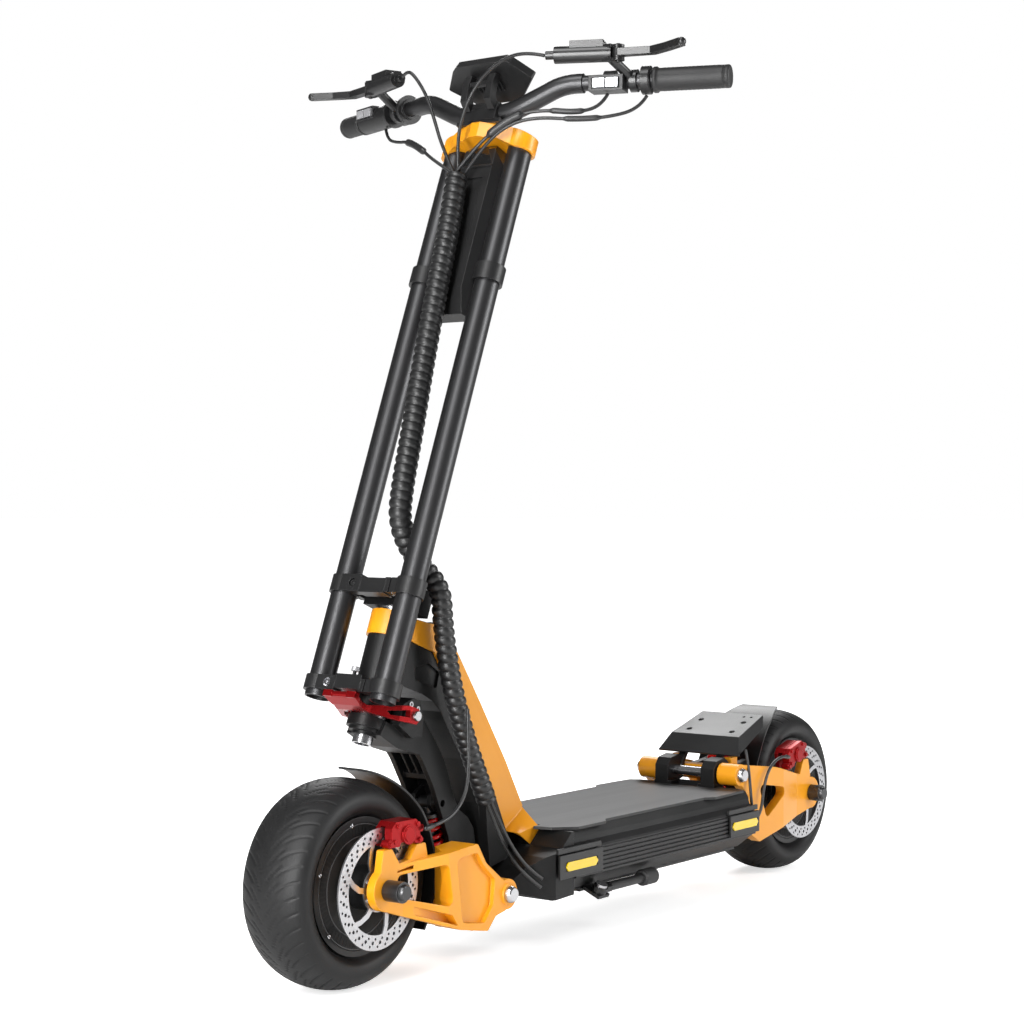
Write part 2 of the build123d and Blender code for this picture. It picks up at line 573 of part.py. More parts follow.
def fork():
    """Headset cup, crown with latch ears, two curved flanges on a back web, and the arm pivot."""
    px, pz = FRONT_PIVOT
    front_edge = [(484, 349), (452, 318), (428, 290), (404, 251), (388, 215), (371, 178),
                  (366, 140), (369, 104)]
    rear_edge = [(310, 104), (310, 163), (314, 183), (327, 200), (348, 214), (356, 227), (364, 246),
                 (371, 266), (380, 286), (398, 312), (424, 345), (440, 352)]
    flange = side_prism(front_edge + rear_edge, FORK_INNER, FORK_OUTER, 1.5)
    flange = flange + across(31, px, pz, FORK_INNER, FORK_OUTER)
    flange = flange + across(22, px, pz, FORK_OUTER - 1, 94)
    web_front = [(x + 9, z - 3) for x, z in rear_edge[2:-1]]
    web = side_prism(rear_edge[2:-1] + web_front[::-1], -FORK_INNER - 1, FORK_INNER + 1)
    body = join([web] + both_sides(flange))
    shelf = [(386, 284), (408, 268), (405, 261), (376, 274)]
    body = body + side_prism(shelf, -FORK_INNER - 1, FORK_INNER + 1)
    for side in (-1, 1):
        low, high = sorted((side * 6, side * 9))
        rib = side_prism([(404, 316), (446, 322), (410, 268), (384, 280)], low, high)
        low, high = sorted((side * 11, side * 18))
        lug = side_prism([(357, 250), (378, 246), (394, 238), (397, 224), (388, 214), (374, 214),
                          (352, 222)], low, high, 2)
        body = body + rib + lug
    crown = stem_prism([(-50, -13), (-44, -34), (-84, -40), (-132, -36), (-126, -8), (-112, -2),
                        (-96, -13)], -FORK_OUTER, FORK_OUTER)
    collar = stem_prism([(-64, -14), (-62, 16), (-80, 30), (-94, 30), (-110, 10), (-116, -14),
                         (-96, -22)], -42, 42, 2)
    cup = [Pos(STEER_B, 0, -19) * Cylinder(27, 15), Pos(STEER_B, 0, -25) * Cylinder(23, 14),
           Pos(STEER_B, 0, -30) * Cylinder(17, 14)]
    body = join([body, crown, collar] + [STEM * piece for piece in cup])
    body = body - STEM * (Pos(STEER_B, 0, 28.5) * Cylinder(31, 80))
    body = body - across(5.05, *FRONT_SHOCK_TOP, -40, 40) - across(8.05, px, pz, -120, 120)
    body = body - STEM * (Pos(STEER_B, 0, -30) * Cylinder(STEERER_RADIUS, 44))
    latch_x, _, latch_z = stem_point(LATCH_A, LATCH_B)
    return body - across(5.05, latch_x, latch_z, -60, 60)


def latch_screws():
    """Two socket screws in the outer face of each latch ear."""
    screws = []
    for b, a in ((-76, 20), (-92, 18)):
        head = Pos(b, 43, a) * Rotation(90, 0, 0) * (Cylinder(4, 2) - Pos(0, 0, -0.5) * Cylinder(2, 2))
        screws += both_sides(STEM * head)
    return screws


def steerer():
    """Steerer tube and the two tapered bearings of the headset."""
    tube = Pos(STEER_B, 0, 66) * (Cylinder(STEERER_RADIUS - RUN_GAP, 228) - Cylinder(10, 240))
    low = Pos(STEER_B, 0, HEAD_LOW + 2) * (Cylinder(22 - RUN_GAP, 9) - Cylinder(STEERER_RADIUS, 20))
    race = Pos(STEER_B, 0, HEAD_LOW - 4.5) * (Cylinder(25, 4) - Cylinder(STEERER_RADIUS, 20))
    high = Pos(STEER_B, 0, HEAD_HIGH - 2) * (Cylinder(22 - RUN_GAP, 9) - Cylinder(STEERER_RADIUS, 20))
    lid = Pos(STEER_B, 0, HEAD_HIGH + 4) * (Cylinder(27, 3) - Cylinder(STEERER_RADIUS, 20))
    return [STEM * piece for piece in (tube, low + race, high + lid)]


def hinge_block():
    """Clamp on the steerer top that carries the fold hinge."""
    body = Pos(-47, 0, 160) * Box(56, 72, 36)
    body = body - Pos(STEER_B, 0, 160) * Cylinder(STEERER_RADIUS, 60)
    body = body - Pos(-72, 0, 160) * Box(20, 4, 60)
    x, _, z = stem_point(FOLD_A, FOLD_B)
    return STEM * body - across(5.05, x, z, -60, 60)


def fork_pins():
    """Chrome pins: fold hinge, latch, damper top and the front arm pivots."""
    fold_x, _, fold_z = stem_point(FOLD_A, FOLD_B)
    hinge = across(5, fold_x, fold_z, -51, 51)
    hinge = hinge + across(5.5, fold_x, fold_z, 51, 54) + across(5.5, fold_x, fold_z, -54, -51)
    hinge = hinge - STEM * (Pos(STEER_B, 0, 160) * Cylinder(STEERER_RADIUS, 60))
    latch_x, _, latch_z = stem_point(LATCH_A, LATCH_B)
    latch = across(5, latch_x, latch_z, 32, 57) + across(7, latch_x, latch_z, 56.4, 59)
    latch = latch + dome(latch_x, latch_z, 59, 1, 7, 3)
    damper = across(5, *FRONT_SHOCK_TOP, -20, 20) + across(7, *FRONT_SHOCK_TOP, 18, 21)
    px, pz = FRONT_PIVOT
    pivot = across(8, px, pz, FORK_INNER + 1, 114) + dome(px, pz, 113.4, 1, 12, 8)
    return [hinge, damper] + both_sides(latch) + both_sides(pivot) + latch_screws()


def fold_latch():
    """Red bail: two arms that narrow to a sloping plate with two hook tabs, and the dark roller."""
    plan = mirrored([(22, 28), (10, 27), (0, 24), (-14, 29), (-28, 38), (-50, 51), (-66, 56), (-92, 56)])
    side = [(-80, 15), (-88, 5), (-82, -6), (-50, -10.5), (-10, -11), (4, -8), (23, -1), (23, 5), (6, 0),
            (-8, -3), (-30, 4), (-60, 14)]
    inner = mirrored([(-13, 10), (-22, 24), (-38, 36), (-58, 46), (-66, 47), (-94, 47)])
    bail = STEM * (plan_prism(plan, -14, 18)) & stem_prism(side, -60, 60)
    bail = bail - STEM * plan_prism(inner, -20, 20)
    bail = bail - stem_prism([(-64, 9), (-66, -1), (-38, -6), (-32, -2)], -60, 60, 1)
    for y in (-20.5, 20.5):
        bail = bail + STEM * (Pos(19, y, 2.2) * Box(9, 15, 8.6))
    hole = STEM * (Pos(LATCH_B, 0, LATCH_A) * Rotation(90, 0, 0) * Cylinder(5.05, 200))
    roller_hole = STEM * (Pos(19, 0, 2.4) * Rotation(90, 0, 0) * Cylinder(2, 200))
    roller = STEM * (Pos(19, 0, 2.4) * Rotation(90, 0, 0) * (Cylinder(4, 25.6) + Cylinder(2, 56)))
    room = STEM * (Pos(19, 0, 2.4) * Rotation(90, 0, 0) * Cylinder(4.3, 26))
    return [bail - hole - roller_hole - room, roller]


# ---------------------------------------------------------------- stem
def stem_tubes():
    pieces = []
    for y in (-TUBE_Y, TUBE_Y):
        tube = Cylinder(TUBE_RADIUS, TUBE_LENGTH) - Cylinder(TUBE_RADIUS - TUBE_WALL, TUBE_LENGTH + 2)
        pieces.append(STEM * (Pos(0, y, TUBE_LENGTH / 2) * tube))
    return pieces


def clamp_ring(a_low, a_high, radius):
    rings = []
    for y in (-TUBE_Y, TUBE_Y):
        rings.append(Pos(0, y, (a_low + a_high) / 2) * Cylinder(radius, a_high - a_low))
    return rings


def tube_holes(a_low, a_high):
    hole = Cylinder(TUBE_RADIUS, a_high - a_low + 20)
    return [Pos(0, y, (a_low + a_high) / 2) * hole for y in (-TUBE_Y, TUBE_Y)]


def join(pieces, cuts=()):
    whole = pieces[0]
    for piece in pieces[1:]:
        whole = whole + piece
    for cut in cuts:
        whole = whole - cut
    return whole


def clamp_pair(a_low, a_high, radius, block_low, block_high):
    """Two tube clamps and the block between them: screw flange on the right, slot on the left."""
    a_mid, tall = (a_low + a_high) / 2, a_high - a_low
    right_flange = Pos(11, -36, a_mid) * Box(18, 40, tall)
    left_flange = Pos(9, 36, a_mid - 1) * Box(18, 22, tall - 3)
    middle = Pos(9, 5, (block_low + block_high) / 2) * Box(20, 46, block_high - block_low)
    slot = Pos(14, 35, a_mid) * Box(14, 2, tall + 4)
    sink = Pos(18.5, -30, a_mid) * Rotation(0, 90, 0) * Cylinder(6, 5)
    head = Cylinder(4.4, 3) - Pos(0, 0, 1) * Cylinder(2.2, 3)
    screw = Pos(17.5, -30, a_mid) * Rotation(0, 90, 0) * head
    return [right_flange, left_flange, middle] + clamp_ring(a_low, a_high, radius), [slot, sink], screw


def stem_bridges():
    """Lower and upper bridges and the two collars that hold the control box."""
    solids, cuts, low_screw = clamp_pair(8, 28, 22, 11, 31)
    lower = join(solids, cuts + tube_holes(8, 28))
    knob = Pos(12, 8, 35.5) * Cylinder(2.5, 9) + Pos(12, 8, 40) * Cylinder(5.5, 6)
    solids, cuts, high_screw = clamp_pair(148, 172, 21, 147, 168)
    for y in (-44, 44):
        solids.append(Pos(-14, y, 161) * Box(28, 12, 22))
        solids.append(Pos(FOLD_B, y, FOLD_A) * Rotation(90, 0, 0) * Cylinder(11, 12))
    pin_hole = Pos(FOLD_B, 0, FOLD_A) * Rotation(90, 0, 0) * Cylinder(5.05, 120)
    upper = join(solids, cuts + tube_holes(148, 172) + [pin_hole])
    collars = []
    for y, ring_piece in zip((-TUBE_Y, TUBE_Y), clamp_ring(616, 642, 22)):
        inner = math.copysign(38, y)
        tab = Pos(-6, (y + inner) / 2, 629) * Box(14, abs(y - inner), 22)
        collars.append(join([ring_piece, tab], tube_holes(616, 642)))
    return [STEM * piece for piece in [lower, knob, low_screw, upper, high_screw] + collars]


def front_prism(outline, b_low, b_high):
    """An outline of (left, up) points in the stem frame, from b_low to b_high forward."""
    plane = Plane(origin=(b_low, 0, 0), x_dir=(0, 1, 0), z_dir=(1, 0, 0))
    return extrude(plane * face_of(outline), amount=b_high - b_low)


def top_clamp():
    """Painted yoke that joins the tube tops, arched up between them."""
    plan = mirrored([(43, 7), (36, 22), (20, 62), (-16, 72), (-24, 30)])
    band = [(-90, 822), (-62, 824), (-36, 834), (36, 834), (62, 824), (90, 822), (90, 843), (42, YOKE_TOP),
            (-42, YOKE_TOP), (-90, 843)]
    yoke = join([plan_prism(plan, 815, 870)] + clamp_ring(815, 870, 23)) & front_prism(band, -60, 60)
    holes = [Pos(0, y, 820) * Cylinder(TUBE_RADIUS, 32.5) for y in (-TUBE_Y, TUBE_Y)]
    return STEM * join([yoke], holes)


def control_box():
    """Headlight and electronics housing between the tubes, its lens and its visor."""
    plan = mirrored([(18, 28), (3, 37.5), (-20, 38), (-27, 30)])
    side = [(-27, 610), (-8, 562), (10, 566), (18, 604), (18, 826), (12, 833.5), (-18, 833.5), (-27, 820)]
    face = [(-45, 540), (45, 540), (45, 800), (36, 806), (20, 840), (-20, 840), (-36, 806), (-45, 800)]
    box = plan_prism(plan, 550, 840) & side_prism(side, -50, 50) & front_prism(face, -40, 40)
    for y in (-TUBE_Y, TUBE_Y):
        box = box - Pos(0, y, 690) * Cylinder(TUBE_RADIUS + 0.5, 320) - Pos(0, y, 629) * Cylinder(22.3, 27)
        box = box - Pos(-6, y, 629) * Box(15, 2 * (TUBE_Y - 37.6), 23)
    lens_face = [(-26, 801), (26, 801), (12, 829), (-12, 829)]
    lens_seat = front_prism(lens_face, 14.5, 20)
    lens = front_prism([(y * 0.99, a * 0.99 + 8.15) for y, a in lens_face], 14.5, 17.2)
    channel = front_prism([(-16, 580), (16, 580), (16, 780), (-16, 780)], 15.5, 20)
    visor = Pos(18.5, 0, 798) * Box(3, 56, 3)
    return [STEM * (box - lens_seat - channel + visor), STEM * lens]


# ---------------------------------------------------------------- handlebar
def bar_point(y):
    """Centre of the bar's straight outer part at a given side distance."""
    share = (abs(y) - BAR_BEND[1]) / (BAR_END[1] - BAR_BEND[1])
    x = BAR_BEND[0] + share * (BAR_END[0] - BAR_BEND[0])
    return (x, y, BAR_BEND[2] + share * (BAR_END[2] - BAR_BEND[2]))


def bar_frame(y, side):
    """Local frame on the bar: z runs outwards along it, x forward, seen from either side."""
    outward = Vector(BAR_END[0] - BAR_BEND[0], side * (BAR_END[1] - BAR_BEND[1]), BAR_END[2] - BAR_BEND[2])
    return Plane(origin=bar_point(side * y), x_dir=(1, side * 0.33, 0), z_dir=outward)


def handlebar():
    knee = (BAR_CENTRE[0], 44, BAR_CENTRE[2])
    half = [knee, BAR_BEND, bar_point(348)]
    route = [(x, -y, z) for x, y, z in reversed(half)] + half
    path = FilletPolyline(*route, radius=[90, 90, 90, 90])
    start = Vector(*route[0])
    plane = Plane(origin=start, z_dir=(Vector(*route[1]) - start).normalized())
    bar = sweep(plane * Circle(BAR_RADIUS), path=path)
    middle_end = bar_point(150)
    thick = [knee, BAR_BEND, middle_end]
    thick = [(x, -y, z) for x, y, z in reversed(thick)] + thick
    path = FilletPolyline(*thick, radius=[90, 90, 90, 90])
    start = Vector(*thick[0])
    plane = Plane(origin=start, z_dir=(Vector(*thick[1]) - start).normalized())
    return bar + sweep(plane * Circle(14), path=path)


def bar_clamp(bar):
    """Riser plate and split clamp on the yoke, and the two arms that hold the display."""
    riser = Pos(16, 0, YOKE_TOP + 3) * Box(46, 78, 6)
    lower = Pos(22, 0, YOKE_TOP + 14) * Box(38, 60, 18)
    cap = Pos(22, 0, YOKE_TOP + 28.5) * Box(36, 60, 9)
    parting = Pos(22, 0, YOKE_TOP + 23.5) * Box(60, 70, 1.2)
    body = STEM * (join([riser, lower, cap, Pos(22, 0, YOKE_TOP + 23) * Box(34, 58, 4)], [parting]))
    arms = []
    for side in (-1, 1):
        low, high = sorted((side * 16, side * 27))
        arm = side_prism([(266, 1212), (276, 1226), (270, 1250), (262, 1264), (250, 1262), (258, 1246),
                          (262, 1230), (254, 1218)], low, high)
        arms.append(arm)
    brace = side_prism([(262, 1246), (268, 1248), (266, 1254), (260, 1252)], -20, 20)
    whole = join([body, brace] + arms) - bar
    return whole


def display_unit():
    """Six-sided display, tilted towards the rider."""
    plan = mirrored([(-34, 38), (0, 76), (30, 52), (36, 44)])
    case = extrude(face_of(plan, 3), amount=16)
    case = chamfer(case.faces().sort_by(Axis.Z)[-1].edges(), 2)
    case = case - plan_prism(mirrored([(-28, 30), (0, 60), (24, 44)]), 15, 20)
    screen = plan_prism(mirrored([(-27.8, 29.6), (0, 59.6), (23.8, 43.6)]), 15, 15.8)
    fins = [Pos(-4, y, -1.5) * Box(16, 2, 3) for y in range(-21, 22, 7)]
    place = Plane(origin=(240, 0, 1254), x_dir=(0.72, 0, 0.69), z_dir=(-0.69, 0, 0.72))
    return [place * join([case] + fins), place * screen]


def grips():
    """Rubber grips; the right one is short, beside the throttle housing."""
    slope = math.hypot(BAR_END[0] - BAR_BEND[0], BAR_END[1] - BAR_BEND[1]) / (BAR_END[1] - BAR_BEND[1])
    pieces = []
    for side, start in ((1, 248), (-1, 300)):
        length = (BAR_END[1] - start) * slope
        grip = Pos(0, 0, length / 2) * Cylinder(GRIP_RADIUS, length)
        grip = grip + Pos(0, 0, 3) * Cylinder(GRIP_RADIUS + 2, 6)
        grip = fillet(grip.edges().group_by(Axis.Z)[-1], 4)
        bore = (348.5 - start) * slope
        grip = grip - Pos(0, 0, bore / 2) * Cylinder(BAR_RADIUS, bore)
        pieces.append(bar_frame(start, side) * grip)
    return pieces


def switch_pods():
    """Left button box and cable housing, right throttle housing and flange."""
    left = bar_frame(188, 1)
    box = left * (Pos(14, 6, 0) * Box(30, 22, 50) + Cylinder(16, 16) - Pos(29, 6, 0) * Box(8, 15, 40))
    lobe = bar_frame(238, 1) * (Cylinder(20, 12) + Pos(0, 1.5, 0) * Cylinder(17, 14))
    pod = Cylinder(18.5, 76) + Pos(10, 8, 14) * Box(20, 18, 48) - Pos(19, 8, 15) * Box(8, 14, 44)
    pod = bar_frame(260, -1) * pod
    flange = bar_frame(180, -1) * (Cylinder(22, 5) + Cylinder(15, 12))
    bores = both_sides(rod(bar_point(120), bar_point(340), BAR_RADIUS))
    return [join([piece], bores) for piece in (box, lobe, pod, flange)]


def brake_master(side):
    """Master cylinder with its reservoir, bar clamp and lever clevis."""
    inner, outer = Vector(278, side * 143, 1272), Vector(246, side * 218, 1271)
    along = (outer - inner).normalized()
    frame = Plane(origin=inner, x_dir=(0.92, side * 0.39, 0), z_dir=along)
    length = (outer - inner).length
    body = Pos(0, 0, length / 2) * Cylinder(12, length)
    tank = Pos(-4, 0, length * 0.56) * Box(27, 22, 46)
    tank = fillet(tank.edges().filter_by(Axis.Z), 4)
    nozzle = Pos(0, 0, -6) * Cylinder(6, 14)
    piece = frame * (body + nozzle)
    piece = piece + Pos(256, side * 184, 1282) * Rotation(0, 0, side * 113) * Box(48, 26, 15)
    clamp_y = 221 if side > 0 else 205
    grip_frame = bar_frame(clamp_y, side)
    piece = piece + grip_frame * Cylinder(16, 10)
    neck_end = 214 if side > 0 else 206
    neck_room = [(x, side * y) for x, y in ((180, 190), (270, 190), (270, 216), (230, 240), (180, 240))]
    piece = piece + (rod(bar_point(side * clamp_y), (250, side * neck_end, 1268), 7)
                     & plan_prism(neck_room, 1240, 1290))
    cheeks = [Pos(243, side * 226, z) * Cylinder(9, 4) for z in (1280, 1262)]
    cheeks += [Pos(247, side * 216, z) * Box(22, 14, 4) for z in (1280, 1262)]
    piece = join([piece] + cheeks)
    piece = piece - both_sides(rod(bar_point(120), bar_point(300), BAR_RADIUS))[0 if side > 0 else 1]
    piece = piece - Pos(243, side * 226, 1271) * Cylinder(9.6, 13.4)
    if side > 0:
        piece = piece - bar_frame(188, 1) * (Pos(14, 6, 0) * Box(31, 23, 51))
    pin = Pos(243, side * 226, 1271) * Cylinder(3, 26)
    return piece - Pos(243, side * 226, 1271) * Cylinder(3, 40), pin


def brake_lever(side):
    """Two-finger lever that turns about an upright pin."""
    outline = [(247, 219), (236, 222), (232, 240), (221, 274), (232, 306), (246, 338), (256, 340),
               (258, 334), (244, 302), (236, 274), (246, 246), (252, 230)]
    blade = plan_prism([(x, side * y) for x, y in outline], 1266, 1276, 1.5)
    boss = Pos(243, side * 226, 1271) * Cylinder(9, 13)
    lever = blade + boss + Pos(253, side * 336, 1271) * Sphere(6.2)
    return lever - Pos(243, side * 226, 1271) * Cylinder(3 + RUN_GAP, 40)


def throttle():
    """Thumb paddle behind the right bar, on its own ring beside the housing."""
    ring_piece = Pos(0, 0, -42.2) * (Cylinder(21, 5.6) - Cylinder(BAR_RADIUS + RUN_GAP, 20))
    paddle = Pos(-26.5, -6, -32) * Box(13, 10, 26)
    return bar_frame(260, -1) * (ring_piece + paddle)


def button(frame, x, y, z, size):
    return frame * (Pos(x, y, z) * Box(*size))


# ---------------------------------------------------------------- hose and cables
HOSE_UPPER = [(772, 38, -14), (700, 38, -5), (617, 37, 0), (530, 30, 1), (450, 23, 3), (372, 20, 9),
              (306, 19, 14), (250, 12, 18), (214, -25, 27), (184, -62, 57), (141, -79, 60)]
HOSE_LOWER = [(412, 60, 430), (396, 61, 374), (374, 61, 322), (350, 61, 274), (324, 61, 227)]


def hose_route():
    return [stem_point(*spot) for spot in HOSE_UPPER] + HOSE_LOWER


def upper_cables():
    """Brake hoses and switch leads from the bar down to the mouth of the spiral hose."""
    def mouth(forward, left):
        return stem_point(HOSE_UPPER[0][0] + 4.5, HOSE_UPPER[0][1] + forward, HOSE_UPPER[0][2] + left)

    routes = [
        [(284, 129.2, 1272.2), (292, 98, 1281), (294, 52, 1270), (290, 10, 1242), (297, -8, 1198),
         (302, -12, 1158), mouth(2, 3)],
        [(284, -129.2, 1272.2), (291, -114, 1280), (293, -97, 1268), (288, -80, 1240), (292, -62, 1202),
         (302, -40, 1160), mouth(2, -5)],
        [(218, 192, 1222), (226, 186, 1204), (246, 160, 1195), (264, 120, 1200), (280, 84, 1197),
         (296, 48, 1174), (304, 14, 1144), mouth(8, 4)],
        [(188, 238, 1219), (196, 230, 1200), (222, 196, 1188), (248, 152, 1186), (270, 110, 1190),
         (286, 74, 1184), (298, 36, 1158), mouth(-4, 8)],
        [(190, -240, 1220), (200, -228, 1202), (226, -188, 1190), (258, -140, 1182), (282, -98, 1166),
         (298, -54, 1138), mouth(-3, -4)],
    ]
    return [tube_path(route, CABLE_RADIUS) for route in routes]


def lower_cables():
    """Leads from the hose into the deck, the front brake hose and the rear brake hose."""
    x, y, z = HOSE_LOWER[-1]
    routes = [
        [(x - 3, y + 5, z - 2), (306, 72, 192), (296, 86, 158), (280, 102, 128), (260, 112, 112)],
        [(x - 5, y - 6, z - 2), (304, 60, 192), (300, 76, 158), (287, 96, 122), (262, 111, 100)],
        [(392, 80, 362), (396, 84, 322), (402, 90, 280), (414, 94, 248), (440, 97, 226), (470, 97, 216),
         (506, 97, 212)],
        [(-350, 86, 236), (-342, 97, 206), (-334, 105, 172), (-336, 107, 140), (-352, 107, 122),
         (-369, 106, 138), (-378, 104, 168), (-396, 102, 196), (-424, 100, 212), (-458, 98, 216),
         (-488, 91, 210)],
    ]
    return [tube_path(route, CABLE_RADIUS) for route in routes]


def kickstand():
    """Leg folded back along the deck, with its rubber foot."""
    x, y, z = STAND_PIVOT
    foot_end = x - STAND_LENGTH
    lug = Cylinder(11, 9) + Pos(-14, 0, 0) * Box(22, 13, 9) - Cylinder(5 + RUN_GAP, 20)
    leg = STAND * lug + rod((x - 23, y, z), (foot_end, y, z), 7)
    foot = fillet(rod((foot_end - 28, y, z), (foot_end + 6, y, z), 12.5).edges(), 3)
    return [leg, foot - rod((foot_end, y, z), (foot_end + 40, y, z), 7)]


# ---------------------------------------------------------------- write every node
def wheel_nodes(prefix, x, disc_y):
    save(f"{prefix}_tyre", tyre(x))
    save(f"{prefix}_hub", hub(x))
    save(f"{prefix}_motor_covers", motor_covers(x, disc_y))
    save(f"{prefix}_disc", brake_disc(x, disc_y))


def shock_nodes(prefix, top, low):
    body, stem, spring = shock(top, low)
    save(f"{prefix}_shock_body", body)
    save(f"{prefix}_shock_rod", stem)
    save(f"{prefix}_spring", spring)


wheel_nodes("front", FRONT_X, FRONT_DISC_Y)
wheel_nodes("rear", REAR_X, REAR_DISC_Y)
shock_nodes("front", FRONT_SHOCK_TOP, FRONT_SHOCK_LOW)
shock_nodes("rear", REAR_SHOCK_TOP, REAR_SHOCK_LOW)
save("front_axle", axle_set(FRONT_X, 92, 124) + [across(5, *FRONT_SHOCK_LOW, -21, 21)])
save("rear_axle", axle_set(REAR_X, 86, 113) + [across(5, *REAR_SHOCK_LOW, -21, 21)])
save("front_caliper", caliper(540, 207, FRONT_DISC_Y, 0))
save("rear_caliper", caliper(-524, 208, REAR_DISC_Y, 15))
save("front_arm", front_arm())
save("rear_arm", rear_arm())
save("front_fender", front_fender())
save("rear_fender", rear_fender())
neck = neck_frame()
save("neck_frame", neck)
save("neck_trim", neck_trim(neck))
save("deck_chassis", deck_chassis())
save("deck_mat", deck_mat())
pods, reflectors = corner_pods()
save("corner_pods", pods)
save("side_reflectors", reflectors)
save("underbody", underbody())
save("battery_pack", battery())
save("motor_controllers", controllers())
save("rear_mount", rear_mount())
save("foot_plate", foot_plate())
save("frame_fasteners", frame_fasteners())
save("fork", fork())
save("steerer", steerer())
save("hinge_block", hinge_block())
save("fork_pins", fork_pins())
save("fold_latch", fold_latch())
save("stem_tubes", stem_tubes())
save("stem_bridges", stem_bridges())
save("top_clamp", top_clamp())
save("control_box", control_box())
bar = handlebar()
save("handlebar", bar)
save("bar_clamp", bar_clamp(bar))
save("display", display_unit())
save("grips", grips())
save("switch_pods", switch_pods())
masters = [piece for side in (1, -1) for piece in brake_master(side)]
save("brake_masters", masters)
save("brake_lever_left", brake_lever(1))
save("brake_lever_right", brake_lever(-1))
save("throttle", throttle())
left_box, right_pod = bar_frame(188, 1), bar_frame(260, -1)
save("button_horn", button(left_box, 29, 6, -9.5, (5, 13, 17)))
save("button_lights", button(left_box, 29, 6, 9.5, (5, 13, 17)))
save("button_power", button(right_pod, 19.5, 8, 4.5, (5, 12, 18)))
save("button_mode", button(right_pod, 19.5, 8, 25.5, (5, 12, 18)))
save("spiral_hose", tube_path(hose_route(), HOSE_RADIUS))
save("upper_cables", upper_cables())
save("lower_cables", lower_cables())
save("kickstand", kickstand())
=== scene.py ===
import math

import bpy
from mathutils import Matrix, Vector


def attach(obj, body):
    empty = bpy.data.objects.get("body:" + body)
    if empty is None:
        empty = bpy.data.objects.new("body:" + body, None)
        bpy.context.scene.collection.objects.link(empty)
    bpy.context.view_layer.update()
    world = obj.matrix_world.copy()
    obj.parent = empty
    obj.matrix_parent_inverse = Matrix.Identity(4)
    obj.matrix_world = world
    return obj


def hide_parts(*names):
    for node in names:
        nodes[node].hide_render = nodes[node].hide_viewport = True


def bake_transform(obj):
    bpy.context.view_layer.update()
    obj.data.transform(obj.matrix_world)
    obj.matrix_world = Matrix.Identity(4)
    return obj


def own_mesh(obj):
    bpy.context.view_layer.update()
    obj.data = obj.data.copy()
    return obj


# Looks of the electric kick scooter. Lengths in the lists are millimetres in the row frame:
# +X forward, +Y to the rider's left, +Z up, the ground at zero.
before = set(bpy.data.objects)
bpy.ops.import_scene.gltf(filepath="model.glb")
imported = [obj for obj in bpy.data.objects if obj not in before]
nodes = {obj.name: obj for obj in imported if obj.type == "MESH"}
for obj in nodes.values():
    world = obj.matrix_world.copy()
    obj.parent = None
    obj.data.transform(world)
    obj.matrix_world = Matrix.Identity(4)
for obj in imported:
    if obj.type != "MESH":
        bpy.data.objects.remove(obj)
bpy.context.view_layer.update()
MM = 0.001

RAKE = math.radians(21.5)
STEM_FOOT = Vector((547.5, 0, 381))
STEM_UP = Vector((-math.sin(RAKE), 0, math.cos(RAKE)))
STEM_FORWARD = Vector((math.cos(RAKE), 0, math.sin(RAKE)))
AXLE_Z = 140
FRONT_X = 575
REAR_X = -575
BAR_BEND = Vector((226, 122, 1242))
BAR_END = Vector((150, 352.5, 1239))
DISPLAY_FOOT = Vector((240, 0, 1254))
DISPLAY_UP = Vector((-0.69, 0, 0.72)).normalized()
STAND_FOOT_X = 26


def stem_point(a, b, y=0.0):
    """A point a up the stem and b in front of the tube plane."""
    return STEM_FOOT + STEM_UP * a + STEM_FORWARD * b + Vector((0, y, 0))


# ---------------------------------------------------------------- camera, floor and light
CAMERA_PLACE = (2.665, 1.8531, 0.6522)
CAMERA_TURN = (-143.2419, -0.3812, 0.1451)
CAMERA_LENS = 73.65
FLOOR_DROP = 0.0006
FLOOR_LIFT = 0.62


def add_camera():
    """The photo's camera, from its yaw, pitch and roll in degrees."""
    yaw, pitch, roll = (math.radians(angle) for angle in CAMERA_TURN)
    forward = Vector((math.cos(pitch) * math.cos(yaw), math.cos(pitch) * math.sin(yaw), math.sin(pitch)))
    level = forward.cross(Vector((0, 0, 1))).normalized()
    above = level.cross(forward)
    right = level * math.cos(roll) + above * math.sin(roll)
    up = above * math.cos(roll) - level * math.sin(roll)
    data = bpy.data.cameras.new("camera")
    data.sensor_width = 36
    data.lens = CAMERA_LENS
    camera = bpy.data.objects.new("camera", data)
    camera.matrix_world = Matrix((right, up, -forward)).transposed().to_4x4()
    camera.matrix_world.translation = CAMERA_PLACE
    bpy.context.scene.collection.objects.link(camera)
    bpy.context.scene.camera = camera
    return level, -forward


def add_area(name, place, target, size, power):
    data = bpy.data.lights.new(name, "AREA")
    data.shape = "RECTANGLE"
    data.size, data.size_y = size
    data.energy = power
    light = bpy.data.objects.new(name, data)
    aim = Vector(target) - Vector(place)
    light.rotation_mode = "QUATERNION"
    light.rotation_quaternion = aim.to_track_quat("-Z", "Y")
    light.location = place
    bpy.context.scene.collection.objects.link(light)


def add_sun(name, towards, strength, spread):
    data = bpy.data.lights.new(name, "SUN")
    data.energy = strength
    data.angle = math.radians(spread)
    light = bpy.data.objects.new(name, data)
    light.rotation_mode = "QUATERNION"
    light.rotation_quaternion = (-Vector(towards)).to_track_quat("-Z", "Y")
    bpy.context.scene.collection.objects.link(light)


